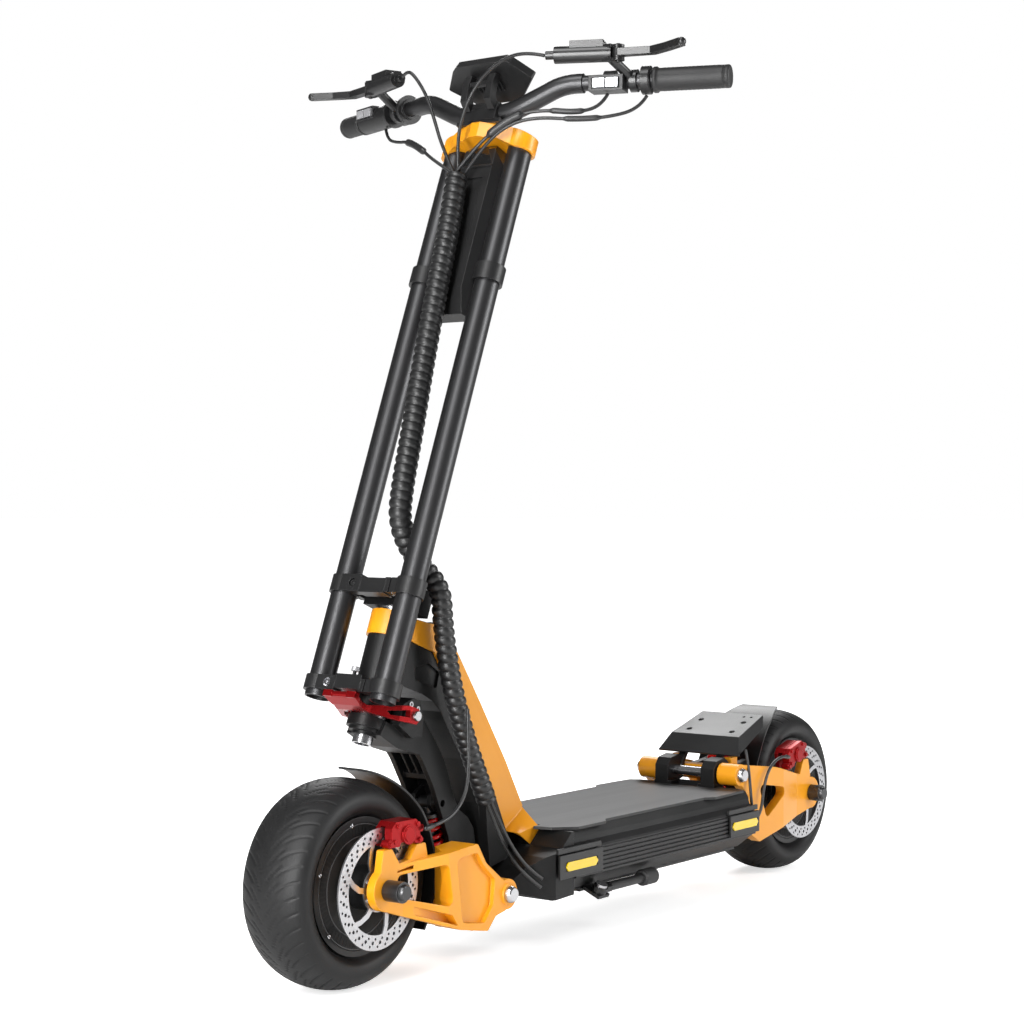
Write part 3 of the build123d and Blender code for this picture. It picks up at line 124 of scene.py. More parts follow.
def add_world():
    """White behind the object for the camera, and a dim even light for everything else."""
    world = bpy.data.worlds.new("studio")
    world.use_nodes = True
    tree = world.node_tree
    shown = tree.nodes.new("ShaderNodeBackground")
    shown.inputs["Color"].default_value = (1, 1, 1, 1)
    lighting = tree.nodes["Background"]
    lighting.inputs["Color"].default_value = (1, 1, 1, 1)
    lighting.inputs["Strength"].default_value = 0.14
    path = tree.nodes.new("ShaderNodeLightPath")
    mix = tree.nodes.new("ShaderNodeMixShader")
    tree.links.new(path.outputs["Is Camera Ray"], mix.inputs[0])
    tree.links.new(lighting.outputs[0], mix.inputs[1])
    tree.links.new(shown.outputs[0], mix.inputs[2])
    tree.links.new(mix.outputs[0], tree.nodes["World Output"].inputs["Surface"])
    bpy.context.scene.world = world


def add_studio(right, back):
    """Soft top sun, tall panels at the camera's left and right, and one behind the object."""
    up = Vector((0, 0, 1))
    middle = Vector((0.1, 0, 0.6))
    add_sun("top_sun", up * 0.80 + back * 0.42 - right * 0.30, 1.9, 30)
    left_panel = middle + (back * math.cos(0.45) - right * math.sin(0.45)) * 3.4
    add_area("left_panel", left_panel + up * 0.35, middle, (0.6, 2.4), 150)
    right_panel = middle + (back * 0.15 + right * 0.98) * 3.0
    add_area("right_panel", right_panel + up * 0.9, middle, (1.0, 2.0), 70)
    rear_panel = middle - back * 3.0
    add_area("rear_panel", rear_panel + up * 1.8, middle, (2.5, 1.2), 70)


def add_floor():
    """White floor whose shadows are lifted for the camera only, so it meets the background."""
    bpy.ops.mesh.primitive_circle_add(vertices=96, radius=60, fill_type="NGON", location=(0, 0, -FLOOR_DROP))
    floor = bpy.context.object
    floor.name = "floor"
    white = surface("pale_floor", (0.93, 0.93, 0.93), (0.95, 0.95, 0.95), 0.7, grain=40, bump=0.01)
    tree = white.node_tree
    shader = tree.nodes["Principled BSDF"]
    shader.inputs["Emission Color"].default_value = (1, 1, 1, 1)
    path = tree.nodes.new("ShaderNodeLightPath")
    lift = tree.nodes.new("ShaderNodeMath")
    lift.operation = "MULTIPLY"
    lift.inputs[1].default_value = FLOOR_LIFT
    tree.links.new(path.outputs["Is Camera Ray"], lift.inputs[0])
    tree.links.new(lift.outputs["Value"], shader.inputs["Emission Strength"])
    floor.data.materials.append(white)


# ---------------------------------------------------------------- materials
def surface(name, dark, light, rough, metallic=0.0, grain=900.0, bump=0.1, spread=0.08, patch=12.0,
            stretch=(1, 1, 1), edge=0.0, edge_light=(0.3, 0.3, 0.3), coat=0.0, shine=0.5, glow=0.0):
    """A finish with noise in its colour, gloss and relief; edge rounds corners and paints a highlight on them,
    lifting their colour towards edge_light.
    """
    material = bpy.data.materials.new(name)
    material.use_nodes = True
    tree = material.node_tree
    make = tree.nodes.new
    shader = tree.nodes["Principled BSDF"]
    place = make("ShaderNodeTexCoord")
    mapping = make("ShaderNodeMapping")
    mapping.inputs["Scale"].default_value = stretch
    tree.links.new(place.outputs["Object"], mapping.inputs["Vector"])

    def noise(scale, detail):
        node = make("ShaderNodeTexNoise")
        node.inputs["Scale"].default_value = scale
        node.inputs["Detail"].default_value = detail
        tree.links.new(mapping.outputs["Vector"], node.inputs["Vector"])
        return node.outputs["Fac"]

    broad = noise(patch, 4)
    fine = noise(grain, 3)
    blend = make("ShaderNodeMix")
    blend.data_type = "RGBA"
    blend.inputs["A"].default_value = (*dark, 1)
    blend.inputs["B"].default_value = (*light, 1)
    tree.links.new(broad, blend.inputs["Factor"])
    colour = blend.outputs["Result"]
    relief = make("ShaderNodeBump")
    relief.inputs["Strength"].default_value = bump
    relief.inputs["Distance"].default_value = 0.0004
    tree.links.new(fine, relief.inputs["Height"])
    # Painted highlight on corners: where the bevelled normal turns from the face's normal, the colour is lifted
    # towards edge_light.
    if edge:
        corner = make("ShaderNodeBevel")
        corner.samples = 4
        corner.inputs["Radius"].default_value = edge
        tree.links.new(corner.outputs["Normal"], relief.inputs["Normal"])
        facing = make("ShaderNodeNewGeometry")
        dot = make("ShaderNodeVectorMath")
        dot.operation = "DOT_PRODUCT"
        tree.links.new(corner.outputs["Normal"], dot.inputs[0])
        tree.links.new(facing.outputs["Normal"], dot.inputs[1])
        edge_highlight = make("ShaderNodeMapRange")
        edge_highlight.inputs["From Min"].default_value = 0.97
        edge_highlight.inputs["From Max"].default_value = 0.75
        edge_highlight.inputs["To Max"].default_value = 0.35
        tree.links.new(dot.outputs["Value"], edge_highlight.inputs["Value"])
        lift = make("ShaderNodeMix")
        lift.data_type = "RGBA"
        lift.inputs["B"].default_value = (*edge_light, 1)
        tree.links.new(edge_highlight.outputs["Result"], lift.inputs["Factor"])
        tree.links.new(colour, lift.inputs["A"])
        colour = lift.outputs["Result"]
    gloss = make("ShaderNodeMapRange")
    gloss.inputs["To Min"].default_value = rough - spread
    gloss.inputs["To Max"].default_value = rough + spread
    tree.links.new(broad, gloss.inputs["Value"])
    tree.links.new(gloss.outputs["Result"], shader.inputs["Roughness"])
    tree.links.new(colour, shader.inputs["Base Color"])
    tree.links.new(relief.outputs["Normal"], shader.inputs["Normal"])
    shader.inputs["Metallic"].default_value = metallic
    shader.inputs["Coat Weight"].default_value = coat
    shader.inputs["Coat Roughness"].default_value = 0.15
    shader.inputs["Specular IOR Level"].default_value = shine
    if glow:
        shader.inputs["Emission Color"].default_value = (*light, 1)
        shader.inputs["Emission Strength"].default_value = glow
    return material


def grey(value):
    return (value, value, value * 1.03)


# Each edge_light is the colour of the painted highlight on that finish's corners.
POWDER = surface("powder_black", grey(0.007), grey(0.011), 0.4, grain=1300, bump=0.22, edge=0.0012,
                 edge_light=grey(0.06), shine=0.42)
CAST = surface("cast_black", grey(0.003), grey(0.006), 0.44, grain=700, bump=0.3, edge=0.0015,
               edge_light=grey(0.05), shine=0.28)
TUBE = surface("tube_black", grey(0.055), grey(0.065), 0.38, metallic=0.9, grain=1600, bump=0.05,
               spread=0.015, patch=5)
GREY_SATIN = surface("grey_satin", grey(0.055), grey(0.075), 0.4, grain=1300, bump=0.2, edge=0.0012,
                     edge_light=grey(0.25))
ORANGE = surface("orange_paint", (0.68, 0.262, 0.004), (0.76, 0.305, 0.007), 0.36, grain=420, bump=0.12,
                 edge=0.002, edge_light=(0.95, 0.46, 0.04), coat=0.1)
RED = surface("red_anodised", (0.27, 0.004, 0.006), (0.37, 0.007, 0.009), 0.3, metallic=0.75, grain=1500,
              bump=0.1, edge=0.001, edge_light=(0.7, 0.06, 0.06))
RED_PAINT = surface("red_spring", (0.55, 0.004, 0.006), (0.68, 0.008, 0.01), 0.25, grain=300, bump=0.05,
                    coat=0.4)
STEEL = surface("bright_steel", grey(0.48), grey(0.6), 0.24, metallic=1.0, grain=900, bump=0.05,
                spread=0.05)
DISC = surface("ground_disc", grey(0.42), grey(0.54), 0.32, metallic=1.0, grain=500, bump=0.12,
               stretch=(1, 4, 1))
DARK_METAL = surface("dark_metal", grey(0.05), grey(0.08), 0.3, metallic=0.9, grain=900, bump=0.1,
                     edge=0.001)
TYRE = surface("tyre_rubber", grey(0.007), grey(0.011), 0.5, grain=520, bump=0.35, patch=25, shine=0.3)
RUBBER = surface("grip_rubber", grey(0.010), grey(0.015), 0.54, grain=800, bump=0.4, patch=30)
MAT = surface("deck_rubber", grey(0.012), grey(0.018), 0.5, grain=160, bump=0.5, patch=16,
              stretch=(0.08, 1.6, 1))
PLASTIC = surface("moulded_black", grey(0.007), grey(0.011), 0.38, grain=1800, bump=0.22, edge=0.0012,
                  edge_light=grey(0.06))
SATIN = surface("satin_black", grey(0.008), grey(0.012), 0.3, grain=900, bump=0.05, spread=0.03,
                edge=0.001, edge_light=grey(0.06))
SHEATH = surface("cable_sheath", grey(0.012), grey(0.02), 0.4, grain=700, bump=0.12, patch=40)
WRAP = surface("spiral_wrap", grey(0.006), grey(0.010), 0.42, grain=420, bump=0.1, patch=40, spread=0.05)
YELLOW_LENS = surface("yellow_reflector", (0.62, 0.42, 0.0), (0.75, 0.55, 0.01), 0.2, grain=650, bump=0.5,
                      coat=0.6)
SILVER = surface("silver_key", grey(0.5), grey(0.62), 0.25, metallic=0.6, grain=800, bump=0.08, edge=0.0008,
                 edge_light=grey(0.8))
SCREEN = surface("dark_screen", grey(0.006), grey(0.009), 0.08, grain=60, bump=0.01, spread=0.02, coat=0.8)
LENS = surface("headlamp_lens", grey(0.004), grey(0.006), 0.08, grain=260, bump=0.02, spread=0.02, coat=1.0)
TAIL_LENS = surface("tail_lens", (0.45, 0.0, 0.0), (0.7, 0.01, 0.01), 0.15, grain=400, bump=0.4, glow=0.6)
BATTERY = surface("battery_wrap", (0.01, 0.03, 0.12), (0.02, 0.05, 0.16), 0.4, grain=300, bump=0.2)
# Near-black finish for the painted shade in the motor covers' vent slots.
SLOT_SHADE = surface("vent_shadow", grey(0.001), grey(0.002), 0.8, grain=300, bump=0.05)
ALLOY = surface("finned_alloy", grey(0.45), grey(0.55), 0.4, metallic=1.0, grain=700, bump=0.15)

FINISH = {
    "neck_frame": CAST, "neck_trim": ORANGE, "deck_chassis": POWDER, "deck_mat": MAT, "corner_pods": PLASTIC,
    "side_reflectors": YELLOW_LENS, "underbody": POWDER, "battery_pack": BATTERY, "motor_controllers": ALLOY,
    "rear_mount": CAST, "foot_plate": POWDER, "frame_fasteners": STEEL, "lower_cables": SHEATH, "fork": CAST,
    "steerer": STEEL, "hinge_block": CAST, "fork_pins": STEEL, "fold_latch": RED, "stem_tubes": TUBE,
    "stem_bridges": POWDER, "top_clamp": ORANGE, "control_box": PLASTIC, "handlebar": TUBE, "bar_clamp": POWDER,
    "display": PLASTIC, "grips": RUBBER, "switch_pods": PLASTIC, "brake_masters": SATIN, "spiral_hose": WRAP,
    "upper_cables": SHEATH, "front_arm": ORANGE, "rear_arm": ORANGE, "front_axle": DARK_METAL,
    "rear_axle": DARK_METAL, "front_caliper": RED, "rear_caliper": RED, "front_fender": PLASTIC,
    "rear_fender": PLASTIC, "front_tyre": TYRE, "rear_tyre": TYRE, "front_hub": POWDER, "rear_hub": POWDER,
    "front_motor_covers": CAST, "rear_motor_covers": CAST, "front_disc": DISC, "rear_disc": DISC,
    "front_shock_body": DARK_METAL, "front_shock_rod": STEEL, "front_spring": RED_PAINT,
    "rear_shock_body": DARK_METAL, "rear_shock_rod": STEEL, "rear_spring": RED_PAINT, "kickstand": PLASTIC,
    "brake_lever_left": SATIN, "brake_lever_right": SATIN, "throttle": PLASTIC, "button_horn": SILVER,
    "button_lights": SILVER, "button_power": SILVER, "button_mode": SILVER,
}


def dress_nodes():
    for name, finish in FINISH.items():
        nodes[name].data.materials.clear()
        nodes[name].data.materials.append(finish)


def paint(node, finish, inside):
    """Gives the faces of a CAD node whose centres pass a test their own finish."""
    mesh = nodes[node].data
    mesh.materials.append(finish)
    index = len(mesh.materials) - 1
    for face in mesh.polygons:
        if inside(face.center / MM, face.normal):
            face.material_index = index


def in_stem(low, high):
    """A test for a box of (forward, left, up) distances in the stem's frame."""
    def inside(centre, normal):
        away = centre - STEM_FOOT
        spot = (away.dot(STEM_FORWARD), away.y, away.dot(STEM_UP))
        return all(a <= value <= b for a, value, b in zip(low, spot, high))
    return inside


def in_box(low, high):
    """A test for a box in the row frame."""
    def inside(centre, normal):
        return all(a <= value <= b for a, value, b in zip(low, centre, high))
    return inside


def on_screen(centre, normal):
    return normal.dot(DISPLAY_UP) > 0.9 and 14.5 < (centre - DISPLAY_FOOT).dot(DISPLAY_UP) < 15.95


def on_bevel(centre, normal):
    return 0.3 < normal.dot(DISPLAY_UP) < 0.95 and (centre - DISPLAY_FOOT).dot(DISPLAY_UP) > 13.9


def paint_details():
    """Parts of a node that are another stuff: lenses, the screen, knobs, screws and rubber feet."""
    paint("control_box", LENS, in_stem((14.0, -27, 808), (17.3, 27, 838)))
    paint("stem_bridges", SILVER, in_stem((6, 2, 36.9), (19, 14, 44)))
    paint("stem_bridges", STEEL, in_stem((15, -36, 10), (20, -24, 26)))
    paint("display", SCREEN, on_screen)
    paint("display", GREY_SATIN, on_bevel)
    paint("foot_plate", TAIL_LENS, in_box((-453.2, -28.2, 265), (-446.5, 28.2, 277.5)))
    paint("kickstand", RUBBER, lambda centre, normal: centre.x < STAND_FOOT_X)


# ---------------------------------------------------------------- mesh helpers
def piece(name, vertices, faces, body, finish, node, smooth=True):
    """A mesh in millimetres that rides on a body; the node argument is not used."""
    mesh = bpy.data.meshes.new(name)
    mesh.from_pydata([tuple(Vector(v) * MM) for v in vertices], [], faces)
    mesh.validate()
    mesh.polygons.foreach_set("use_smooth", [smooth] * len(mesh.polygons))
    mesh.materials.append(finish)
    shape = bpy.data.objects.new(name, mesh)
    bpy.context.scene.collection.objects.link(shape)
    if body:
        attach(shape, body)
    return shape


def grid_faces(rows, columns, close_rows, close_columns):
    faces = []
    for i in range(rows if close_rows else rows - 1):
        for j in range(columns if close_columns else columns - 1):
            a, b = i * columns + j, i * columns + (j + 1) % columns
            c, d = ((i + 1) % rows) * columns + (j + 1) % columns, ((i + 1) % rows) * columns + j
            faces.append((a, b, c, d))
    return faces


def smooth_line(points, closed=False, steps=6):
    """Points on the curve that passes through every given point."""
    spots = [Vector(p) for p in points]
    count = len(spots)
    line = []
    for i in range(count if closed else count - 1):
        p0 = spots[i - 1] if closed or i else spots[0]
        p1, p2 = spots[i], spots[(i + 1) % count]
        p3 = spots[(i + 2) % count] if closed or i + 2 < count else spots[-1]
        for k in range(steps):
            t = k / steps
            line.append(0.5 * ((2 * p1) + (p2 - p0) * t + (2 * p0 - 5 * p1 + 4 * p2 - p3) * t * t
                               + (3 * p1 - p0 - 3 * p2 + p3) * t ** 3))
    if not closed:
        line.append(spots[-1])
    return line


def nurbs_line(points):
    """The smooth line of a cord: a NURBS spline with the route's points as its control points."""
    curve = bpy.data.curves.new("route", "CURVE")
    curve.dimensions = "3D"
    curve.resolution_u = 16
    spline = curve.splines.new("NURBS")
    spline.points.add(len(points) - 1)
    for spot, point in zip(spline.points, points):
        spot.co = (*point, 1)
    spline.order_u = 3
    spline.use_endpoint_u = True
    holder = bpy.data.objects.new("route", curve)
    bpy.context.scene.collection.objects.link(holder)
    bpy.context.view_layer.update()
    mesh = bpy.data.meshes.new_from_object(holder)
    line = [v.co.copy() for v in mesh.vertices]
    bpy.data.objects.remove(holder)
    bpy.data.meshes.remove(mesh)
    return line


def even_line(line, step):
    """The same line with points a step apart."""
    lengths = [0.0]
    for a, b in zip(line, line[1:]):
        lengths.append(lengths[-1] + (b - a).length)
    count = max(2, round(lengths[-1] / step))
    spots, k = [], 0
    for i in range(count + 1):
        want = lengths[-1] * i / count
        while k < len(lengths) - 2 and lengths[k + 1] < want:
            k += 1
        share = (want - lengths[k]) / max(1e-9, lengths[k + 1] - lengths[k])
        spots.append(line[k].lerp(line[k + 1], min(1.0, share)))
    return spots


def tube_mesh(line, sides, radius_at):
    """Rings along a line; radius_at(distance, turn) gives the radius. Both ends are closed."""
    tangent = (line[1] - line[0]).normalized()
    side = tangent.orthogonal().normalized()
    vertices, run = [], 0.0
    for i, spot in enumerate(line):
        ahead = line[min(i + 1, len(line) - 1)] - line[max(i - 1, 0)]
        new_tangent = ahead.normalized()
        side = tangent.rotation_difference(new_tangent) @ side
        side = (side - new_tangent * side.dot(new_tangent)).normalized()
        tangent = new_tangent
        across = tangent.cross(side)
        if i:
            run += (spot - line[i - 1]).length
        for k in range(sides):
            turn = 2 * math.pi * k / sides
            reach = radius_at(run, turn)
            vertices.append(spot + (side * math.cos(turn) + across * math.sin(turn)) * reach)
    faces = grid_faces(len(line), sides, False, True)
    faces.append(tuple(reversed(range(sides))))
    faces.append(tuple(range(len(vertices) - sides, len(vertices))))
    return vertices, faces


def merge(parts):
    vertices, faces = [], []
    for more_vertices, more_faces in parts:
        base = len(vertices)
        vertices += more_vertices
        faces += [tuple(index + base for index in face) for face in more_faces]
    return vertices, faces


def lathe_y(profile, x, z, segments, closed=True):
    """Turns a (y, radius) profile about a line along Y."""
    vertices = []
    for k in range(segments):
        angle = 2 * math.pi * k / segments
        for y, radius in profile:
            vertices.append((x + radius * math.cos(angle), y, z + radius * math.sin(angle)))
    return vertices, grid_faces(segments, len(profile), True, closed)


# ---------------------------------------------------------------- wheels
COVER_FACE = 44
BOLT_COUNT = 6
BOLT_RADIUS = 83.5
SLOT_COUNT = 72
SLOT_INNER = 68.5
SLOT_OUTER = 79.6
TREAD_COUNT = 40
TREAD_DEPTH = 1.4
TREAD_FROM = 120
TYRE_RADIUS = 140


def smooth_step(value):
    value = max(0.0, min(1.0, value))
    return value * value * (3 - 2 * value)


def groove_depth(y, arc):
    """Depth of the directional tread: long swept grooves each side and short ones near the middle."""
    out = abs(y)
    pitch = 2 * math.pi * TYRE_RADIUS / TREAD_COUNT
    lean = 58 * (1 - math.exp(-out / 26))
    half = 0.5 * pitch if y < 0 else 0.0

    def cut(offset, width, first, last):
        place = (arc - lean + offset + half) % pitch
        away = min(place, pitch - place)
        ends = smooth_step((out - first) / 3) * smooth_step((last - out) / 3)
        return ends * smooth_step(1 - away / width)

    long_groove = cut(0, 2.0, 17, 50)
    centre_groove = cut(0.5 * pitch, 2.1, 3, 24)
    return TREAD_DEPTH * max(long_groove, centre_groove)


def tyre(name, x, body):
    """Tyre with its tread, turned from half a section mirrored about the middle."""
    half = [(31, 89), (36, 91), (41.3, 92.5), (43.5, 95), (48, 98), (52.5, 102.5), (54.4, 108), (54.8, 113.5),
            (53.6, 118.5), (50.5, 123.5), (46, 127.8), (40, 131.4), (32, 134.8), (22, 137.6), (11, 139.3)]
    outer = half + [(0, 139.9)] + [(-y, r) for y, r in reversed(half)]
    line = smooth_line([(y, r, 0) for y, r in outer], steps=4)
    inner = [(-37, 100), (-43, 112), (-36, 124), (0, 130), (36, 124), (43, 112), (37, 100)]
    profile = [(spot.x, spot.y) for spot in line] + inner
    segments = TREAD_COUNT * 16
    vertices = []
    for k in range(segments):
        angle = 2 * math.pi * k / segments
        for index, (y, radius) in enumerate(profile):
            if index < len(line) and radius > TREAD_FROM:
                radius -= groove_depth(y, angle * TYRE_RADIUS)
            vertices.append((x + radius * math.cos(angle), y, AXLE_Z + radius * math.sin(angle)))
    faces = grid_faces(segments, len(profile), True, True)
    shape = piece(name, vertices, faces, body, TYRE, name.replace("_tread", "_tyre"))
    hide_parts(name.replace("_tread", "_tyre"))


def button_bolt(x, y, z, side, radius, height):
    """A domed bolt head with a hexagon socket, pointing along Y."""
    profile = [(0, radius), (0.35 * height, radius), (0.7 * height, 0.86 * radius), (height, 0.55 * radius),
               (height, 0.42 * radius), (0.45 * height, 0.40 * radius), (0.45 * height, 0.01)]
    vertices, faces = lathe_y([(y + side * rise, r) for rise, r in profile], x, z, 24, closed=False)
    return vertices, faces


def cover_details(prefix, x, body):
    """Six domed bolts, vent slots as dark blocks of painted shade between ribs, and a thin machined ring on
    each motor cover.
    """
    node = f"{prefix}_motor_covers"
    bolts, slots, rings = [], [], []
    for side in (1, -1):
        for k in range(BOLT_COUNT):
            angle = 2 * math.pi * (k + 0.3) / BOLT_COUNT
            place_x, place_z = x + BOLT_RADIUS * math.cos(angle), AXLE_Z + BOLT_RADIUS * math.sin(angle)
            bolts.append(button_bolt(place_x, side * COVER_FACE, place_z, side, 3.2, 2.0))
        for k in range(SLOT_COUNT):
            slots.append(cover_slot(x, side, 2 * math.pi * k / SLOT_COUNT))
        for radius in (SLOT_INNER - 3.0, 81.6):
            profile = [(COVER_FACE, radius), (COVER_FACE + 0.5, radius), (COVER_FACE + 0.5, radius + 1.3),
                       (COVER_FACE, radius + 1.3)]
            rings.append(lathe_y([(side * y, r) for y, r in profile], x, AXLE_Z, 96))
    piece(f"{prefix}_cover_bolts", *merge(bolts), body, STEEL, node)
    piece(f"{prefix}_cover_slots", *merge(slots), body, SLOT_SHADE, node, smooth=False)
    piece(f"{prefix}_cover_rings", *merge(rings), body, GREY_SATIN, node, smooth=False)


def cover_slot(x, side, angle):
    """One vent slot: a thin dark block lying on the cover, painted shade for the shadow inside the slot."""
    out = Vector((math.cos(angle), 0, math.sin(angle)))
    along = Vector((-math.sin(angle), 0, math.cos(angle)))
    middle = Vector((x, side * COVER_FACE, AXLE_Z))
    vertices = []
    for lift in (0.0, 0.25):
        for radius, half in ((SLOT_INNER, 1.9), (SLOT_INNER, -1.9), (SLOT_OUTER, -2.3), (SLOT_OUTER, 2.3)):
            vertices.append(middle + out * radius + along * half + Vector((0, side * lift, 0)))
    faces = [(0, 1, 2, 3), (7, 6, 5, 4), (0, 4, 5, 1), (1, 5, 6, 2), (2, 6, 7, 3), (3, 7, 4, 0)]
    return vertices, faces


# ---------------------------------------------------------------- springs
SPRING_SEAT = 23
SPRING_RADIUS = 16.5
SPRING_WIRE = 3.0
SPRING_PITCH = 13
SPRING_STEPS = 28


def spring(name, top, low, body, node):
    """Coil with flat-ground ends between the two spring seats."""
    top, low = Vector((top[0], 0, top[1])), Vector((low[0], 0, low[1]))
    run = (low - top).length
    down = (low - top) / run
    side = Vector((0, 1, 0))
    across = down.cross(side)
    first, last = SPRING_SEAT, run - SPRING_SEAT
    turns = round((last - first) / SPRING_PITCH) + 1
    line = []
    for k in range(turns * SPRING_STEPS + 1):
        share = k / (turns * SPRING_STEPS)
        settle = share + 0.045 * math.sin(2 * math.pi * share)
        angle = 2 * math.pi * turns * share
        centre = top + down * (first + (last - first) * (share * 0.25 + settle * 0.75))
        line.append(centre + (side * math.cos(angle) + across * math.sin(angle)) * SPRING_RADIUS)
    shape = piece(name, *tube_mesh(line, 14, lambda run, turn: SPRING_WIRE), body, RED_PAINT, node)
    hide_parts(node)
    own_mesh(shape)


# ---------------------------------------------------------------- hose and cables
HOSE_UPPER = [(772, 38, -14), (700, 38, -5), (617, 37, 0), (530, 30, 1), (450, 23, 3), (372, 20, 9),
              (306, 19, 14), (250, 12, 18), (214, -25, 27), (184, -62, 57), (141, -79, 60)]
HOSE_LOWER = [(412, 60, 430), (396, 61, 374), (374, 61, 322), (350, 61, 274), (324, 61, 227)]
WRAP_PITCH = 12.5
WRAP_SIDES = 30
BLEND_HEIGHTS = (660, 512, 468)
CORD_RADIUS = 2.5


def wrap_radius(distance, turn):
    """Rounded spiral band with a sharp groove between its turns, slimmer towards the deck."""
    place = (distance / WRAP_PITCH + turn / (2 * math.pi)) % 1.0
    rise = 1 - abs(2 * place - 1) ** 2.6
    size = 13.6 - 1.6 * smooth_step((distance - 450) / 250)
    return size + 2.7 * rise


def spiral_hose():
    """The wrapped hose in three pieces: on the stem, past the fold hinge, and past the steering."""
    route = [stem_point(*spot) for spot in HOSE_UPPER] + [Vector(spot) for spot in HOSE_LOWER]
    line = even_line(nurbs_line(route), 1.25)
    total = len(line)
    fold_start, fork_part, neck_part = (next(i for i, spot in enumerate(line) if spot.z < height)
                                        for height in BLEND_HEIGHTS)
    bounds = ((0, fold_start), (fold_start, fork_part), (fork_part, total - 1))
    vertices, faces = tube_mesh(line, WRAP_SIDES, wrap_radius)
    shapes = []
    for number, (first, last) in enumerate(bounds):
        part = vertices[first * WRAP_SIDES:(last + 1) * WRAP_SIDES]
        ring_faces = grid_faces(last - first + 1, WRAP_SIDES, False, True)
        if number == 0:
            ring_faces.append(tuple(reversed(range(WRAP_SIDES))))
        if number == 2:
            ring_faces.append(tuple(range(len(part) - WRAP_SIDES, len(part))))
        body = "stem" if number == 0 else None
        shapes.append(piece(f"hose_wrap_{number + 1}", part, ring_faces, body, WRAP, "spiral_hose"))
    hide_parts("spiral_hose")
    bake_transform(shapes[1])
    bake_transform(shapes[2])


def mouth(forward, left):
    """Where a lead enters the top of the spiral wrap."""
    return stem_point(HOSE_UPPER[0][0] + 4.5, HOSE_UPPER[0][1] + forward, HOSE_UPPER[0][2] + left)


def cord(name, route, body, node, sleeves=(), radius=CORD_RADIUS, finish=SHEATH):
    """A held cable on its smooth line, with thicker sleeves where it is joined."""
    line = even_line(nurbs_line([Vector(p) for p in route]), 2.0)
    length = sum((b - a).length for a, b in zip(line, line[1:]))

    def reach(distance, turn):
        size = radius
        for start, end, thick in sleeves:
            share = distance / length
            ramp = smooth_step((share - start) / 0.025) * smooth_step((end - share) / 0.025)
            size = max(size, radius + (thick - radius) * ramp)
        return size

    return piece(name, *tube_mesh(line, 16, reach), body, finish, node)


def upper_cables():
    routes = [
        ([(284, 129.2, 1272.2), (292, 98, 1281), (294, 52, 1270), (290, 10, 1242), (297, -8, 1198),
          (302, -12, 1158), mouth(2, 3)], ()),
        ([(284, -129.2, 1272.2), (291, -114, 1280), (293, -97, 1268), (288, -80, 1240), (292, -62, 1202),
          (302, -40, 1160), mouth(2, -5)], ()),
        ([(218, 192, 1222), (226, 186, 1204), (246, 160, 1195), (264, 120, 1200), (280, 84, 1197),
          (296, 48, 1174), (304, 14, 1144), mouth(8, 4)], ((0.16, 0.36, 4.2), (0.50, 0.74, 6.2))),
        ([(188, 238, 1219), (196, 230, 1200), (222, 196, 1188), (248, 152, 1186), (270, 110, 1190),
          (286, 74, 1184), (298, 36, 1158), mouth(-4, 8)], ((0.24, 0.42, 4.2),)),
        ([(190, -240, 1220), (200, -228, 1202), (226, -188, 1190), (258, -140, 1182), (282, -98, 1166),
          (298, -54, 1138), mouth(-3, -4)], ((0.45, 0.72, 5.4),)),
    ]
    for number, (route, sleeves) in enumerate(routes):
        cord(f"bar_lead_{number + 1}", route, "stem", "upper_cables", sleeves)
    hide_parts("upper_cables")


def lower_cables():
    x, y, z = HOSE_LOWER[-1]
    deck_leads = [
        [(x - 3, y + 5, z - 2), (306, 72, 192), (296, 86, 158), (280, 102, 128), (260, 112, 112)],
        [(x - 5, y - 6, z - 2), (304, 60, 192), (300, 76, 158), (287, 96, 122), (262, 111, 100)],
    ]
    for number, route in enumerate(deck_leads):
        cord(f"deck_lead_{number + 1}", route, "frame", "lower_cables")
    front = [(392, 80, 362), (396, 84, 322), (402, 90, 280), (414, 94, 248), (440, 97, 226),
             (470, 97, 216), (506, 97, 212)]
    rear = [(-350, 86, 236), (-342, 97, 206), (-334, 105, 172), (-336, 107, 140), (-352, 107, 122),
            (-369, 106, 138), (-378, 104, 168), (-396, 102, 196), (-424, 100, 212), (-458, 98, 216),
            (-488, 91, 210)]
    hose = cord("front_brake_hose", front, None, "lower_cables", ((0.9, 1.0, 3.6),))
    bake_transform(hose)
    hose = cord("rear_brake_hose", rear, None, "lower_cables", ((0.92, 1.0, 3.6),))
    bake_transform(hose)
    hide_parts("lower_cables")


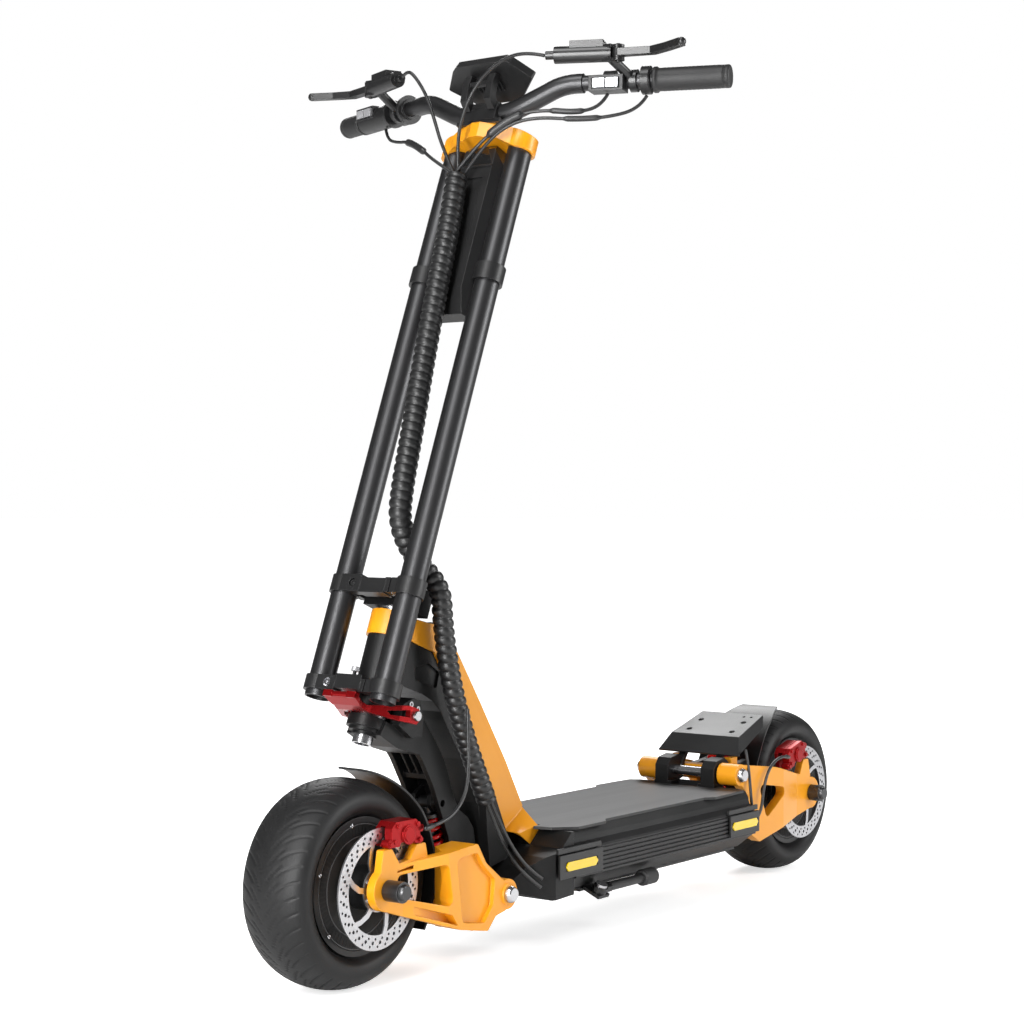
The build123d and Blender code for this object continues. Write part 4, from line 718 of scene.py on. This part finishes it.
# ---------------------------------------------------------------- grips
def grip(name, start, side):
    """Rubber sleeve with an inner flange, fine flutes and a rounded end."""
    outward = (BAR_END - BAR_BEND).normalized()
    outward.y *= side
    slope = (BAR_END - BAR_BEND).length / (BAR_END.y - BAR_BEND.y)
    share = (start - BAR_BEND.y) / (BAR_END.y - BAR_BEND.y)
    origin = BAR_BEND.lerp(BAR_END, share)
    origin.y *= side
    length = (BAR_END.y - start) * slope
    up = Vector((0, 0, 1))
    up = (up - outward * up.dot(outward)).normalized()
    forward = up.cross(outward)
    profile = [(0.3, 11.4), (0.2, 17.6), (0.8, 18.4), (5.0, 18.4), (5.9, 17.6), (7.5, 16.2)]
    steps = max(4, round((length - 20) / 2.2))
    profile += [(8 + (length - 20) * k / steps, 16.2) for k in range(1, steps)]
    profile += [(length - 11, 16.2), (length - 9.5, 16.2), (length - 9, 15.5), (length - 8.2, 15.5),
                (length - 7.6, 16.3), (length - 3, 16.4), (length - 1.2, 15.8), (length - 0.3, 14.2),
                (length, 11), (length, 5), (length, 0.05)]
    sides = 96
    vertices = []
    for along, radius in profile:
        for k in range(sides):
            turn = 2 * math.pi * k / sides
            reach = radius
            if 9 < along < length - 12:
                band = math.sin(turn * 24 + along * 0.9) * math.sin(turn * 24 - along * 0.9)
                ends = smooth_step((along - 9) / 5) * smooth_step((length - 12 - along) / 5)
                reach += 0.28 * max(-0.4, band) * ends
            around = up * math.sin(turn) + forward * math.cos(turn)
            vertices.append(origin + outward * along + around * reach)
    faces = grid_faces(len(profile), sides, False, True)
    faces.append(tuple(range(len(vertices) - sides, len(vertices))))
    return piece(name, vertices, faces, "stem", RUBBER, "grips")


# ---------------------------------------------------------------- the scene
dress_nodes()
paint_details()
right, back = add_camera()
add_world()
add_studio(right, back)
add_floor()
tyre("front_tread", FRONT_X, "front_wheel")
tyre("rear_tread", REAR_X, "rear_wheel")
cover_details("front", FRONT_X, "front_wheel")
cover_details("rear", REAR_X, "rear_wheel")
spring("front_coil", (384, 226), (360, 84), "front_shock_upper", "front_spring")
spring("rear_coil", (-416, 250), (-388, 140), "rear_shock_upper", "rear_spring")
spiral_hose()
upper_cables()
lower_cables()
left_grip = grip("left_grip", 248, 1)
grip("right_grip", 300, -1)
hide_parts("grips")
bpy.context.scene.view_settings.view_transform = "Standard"
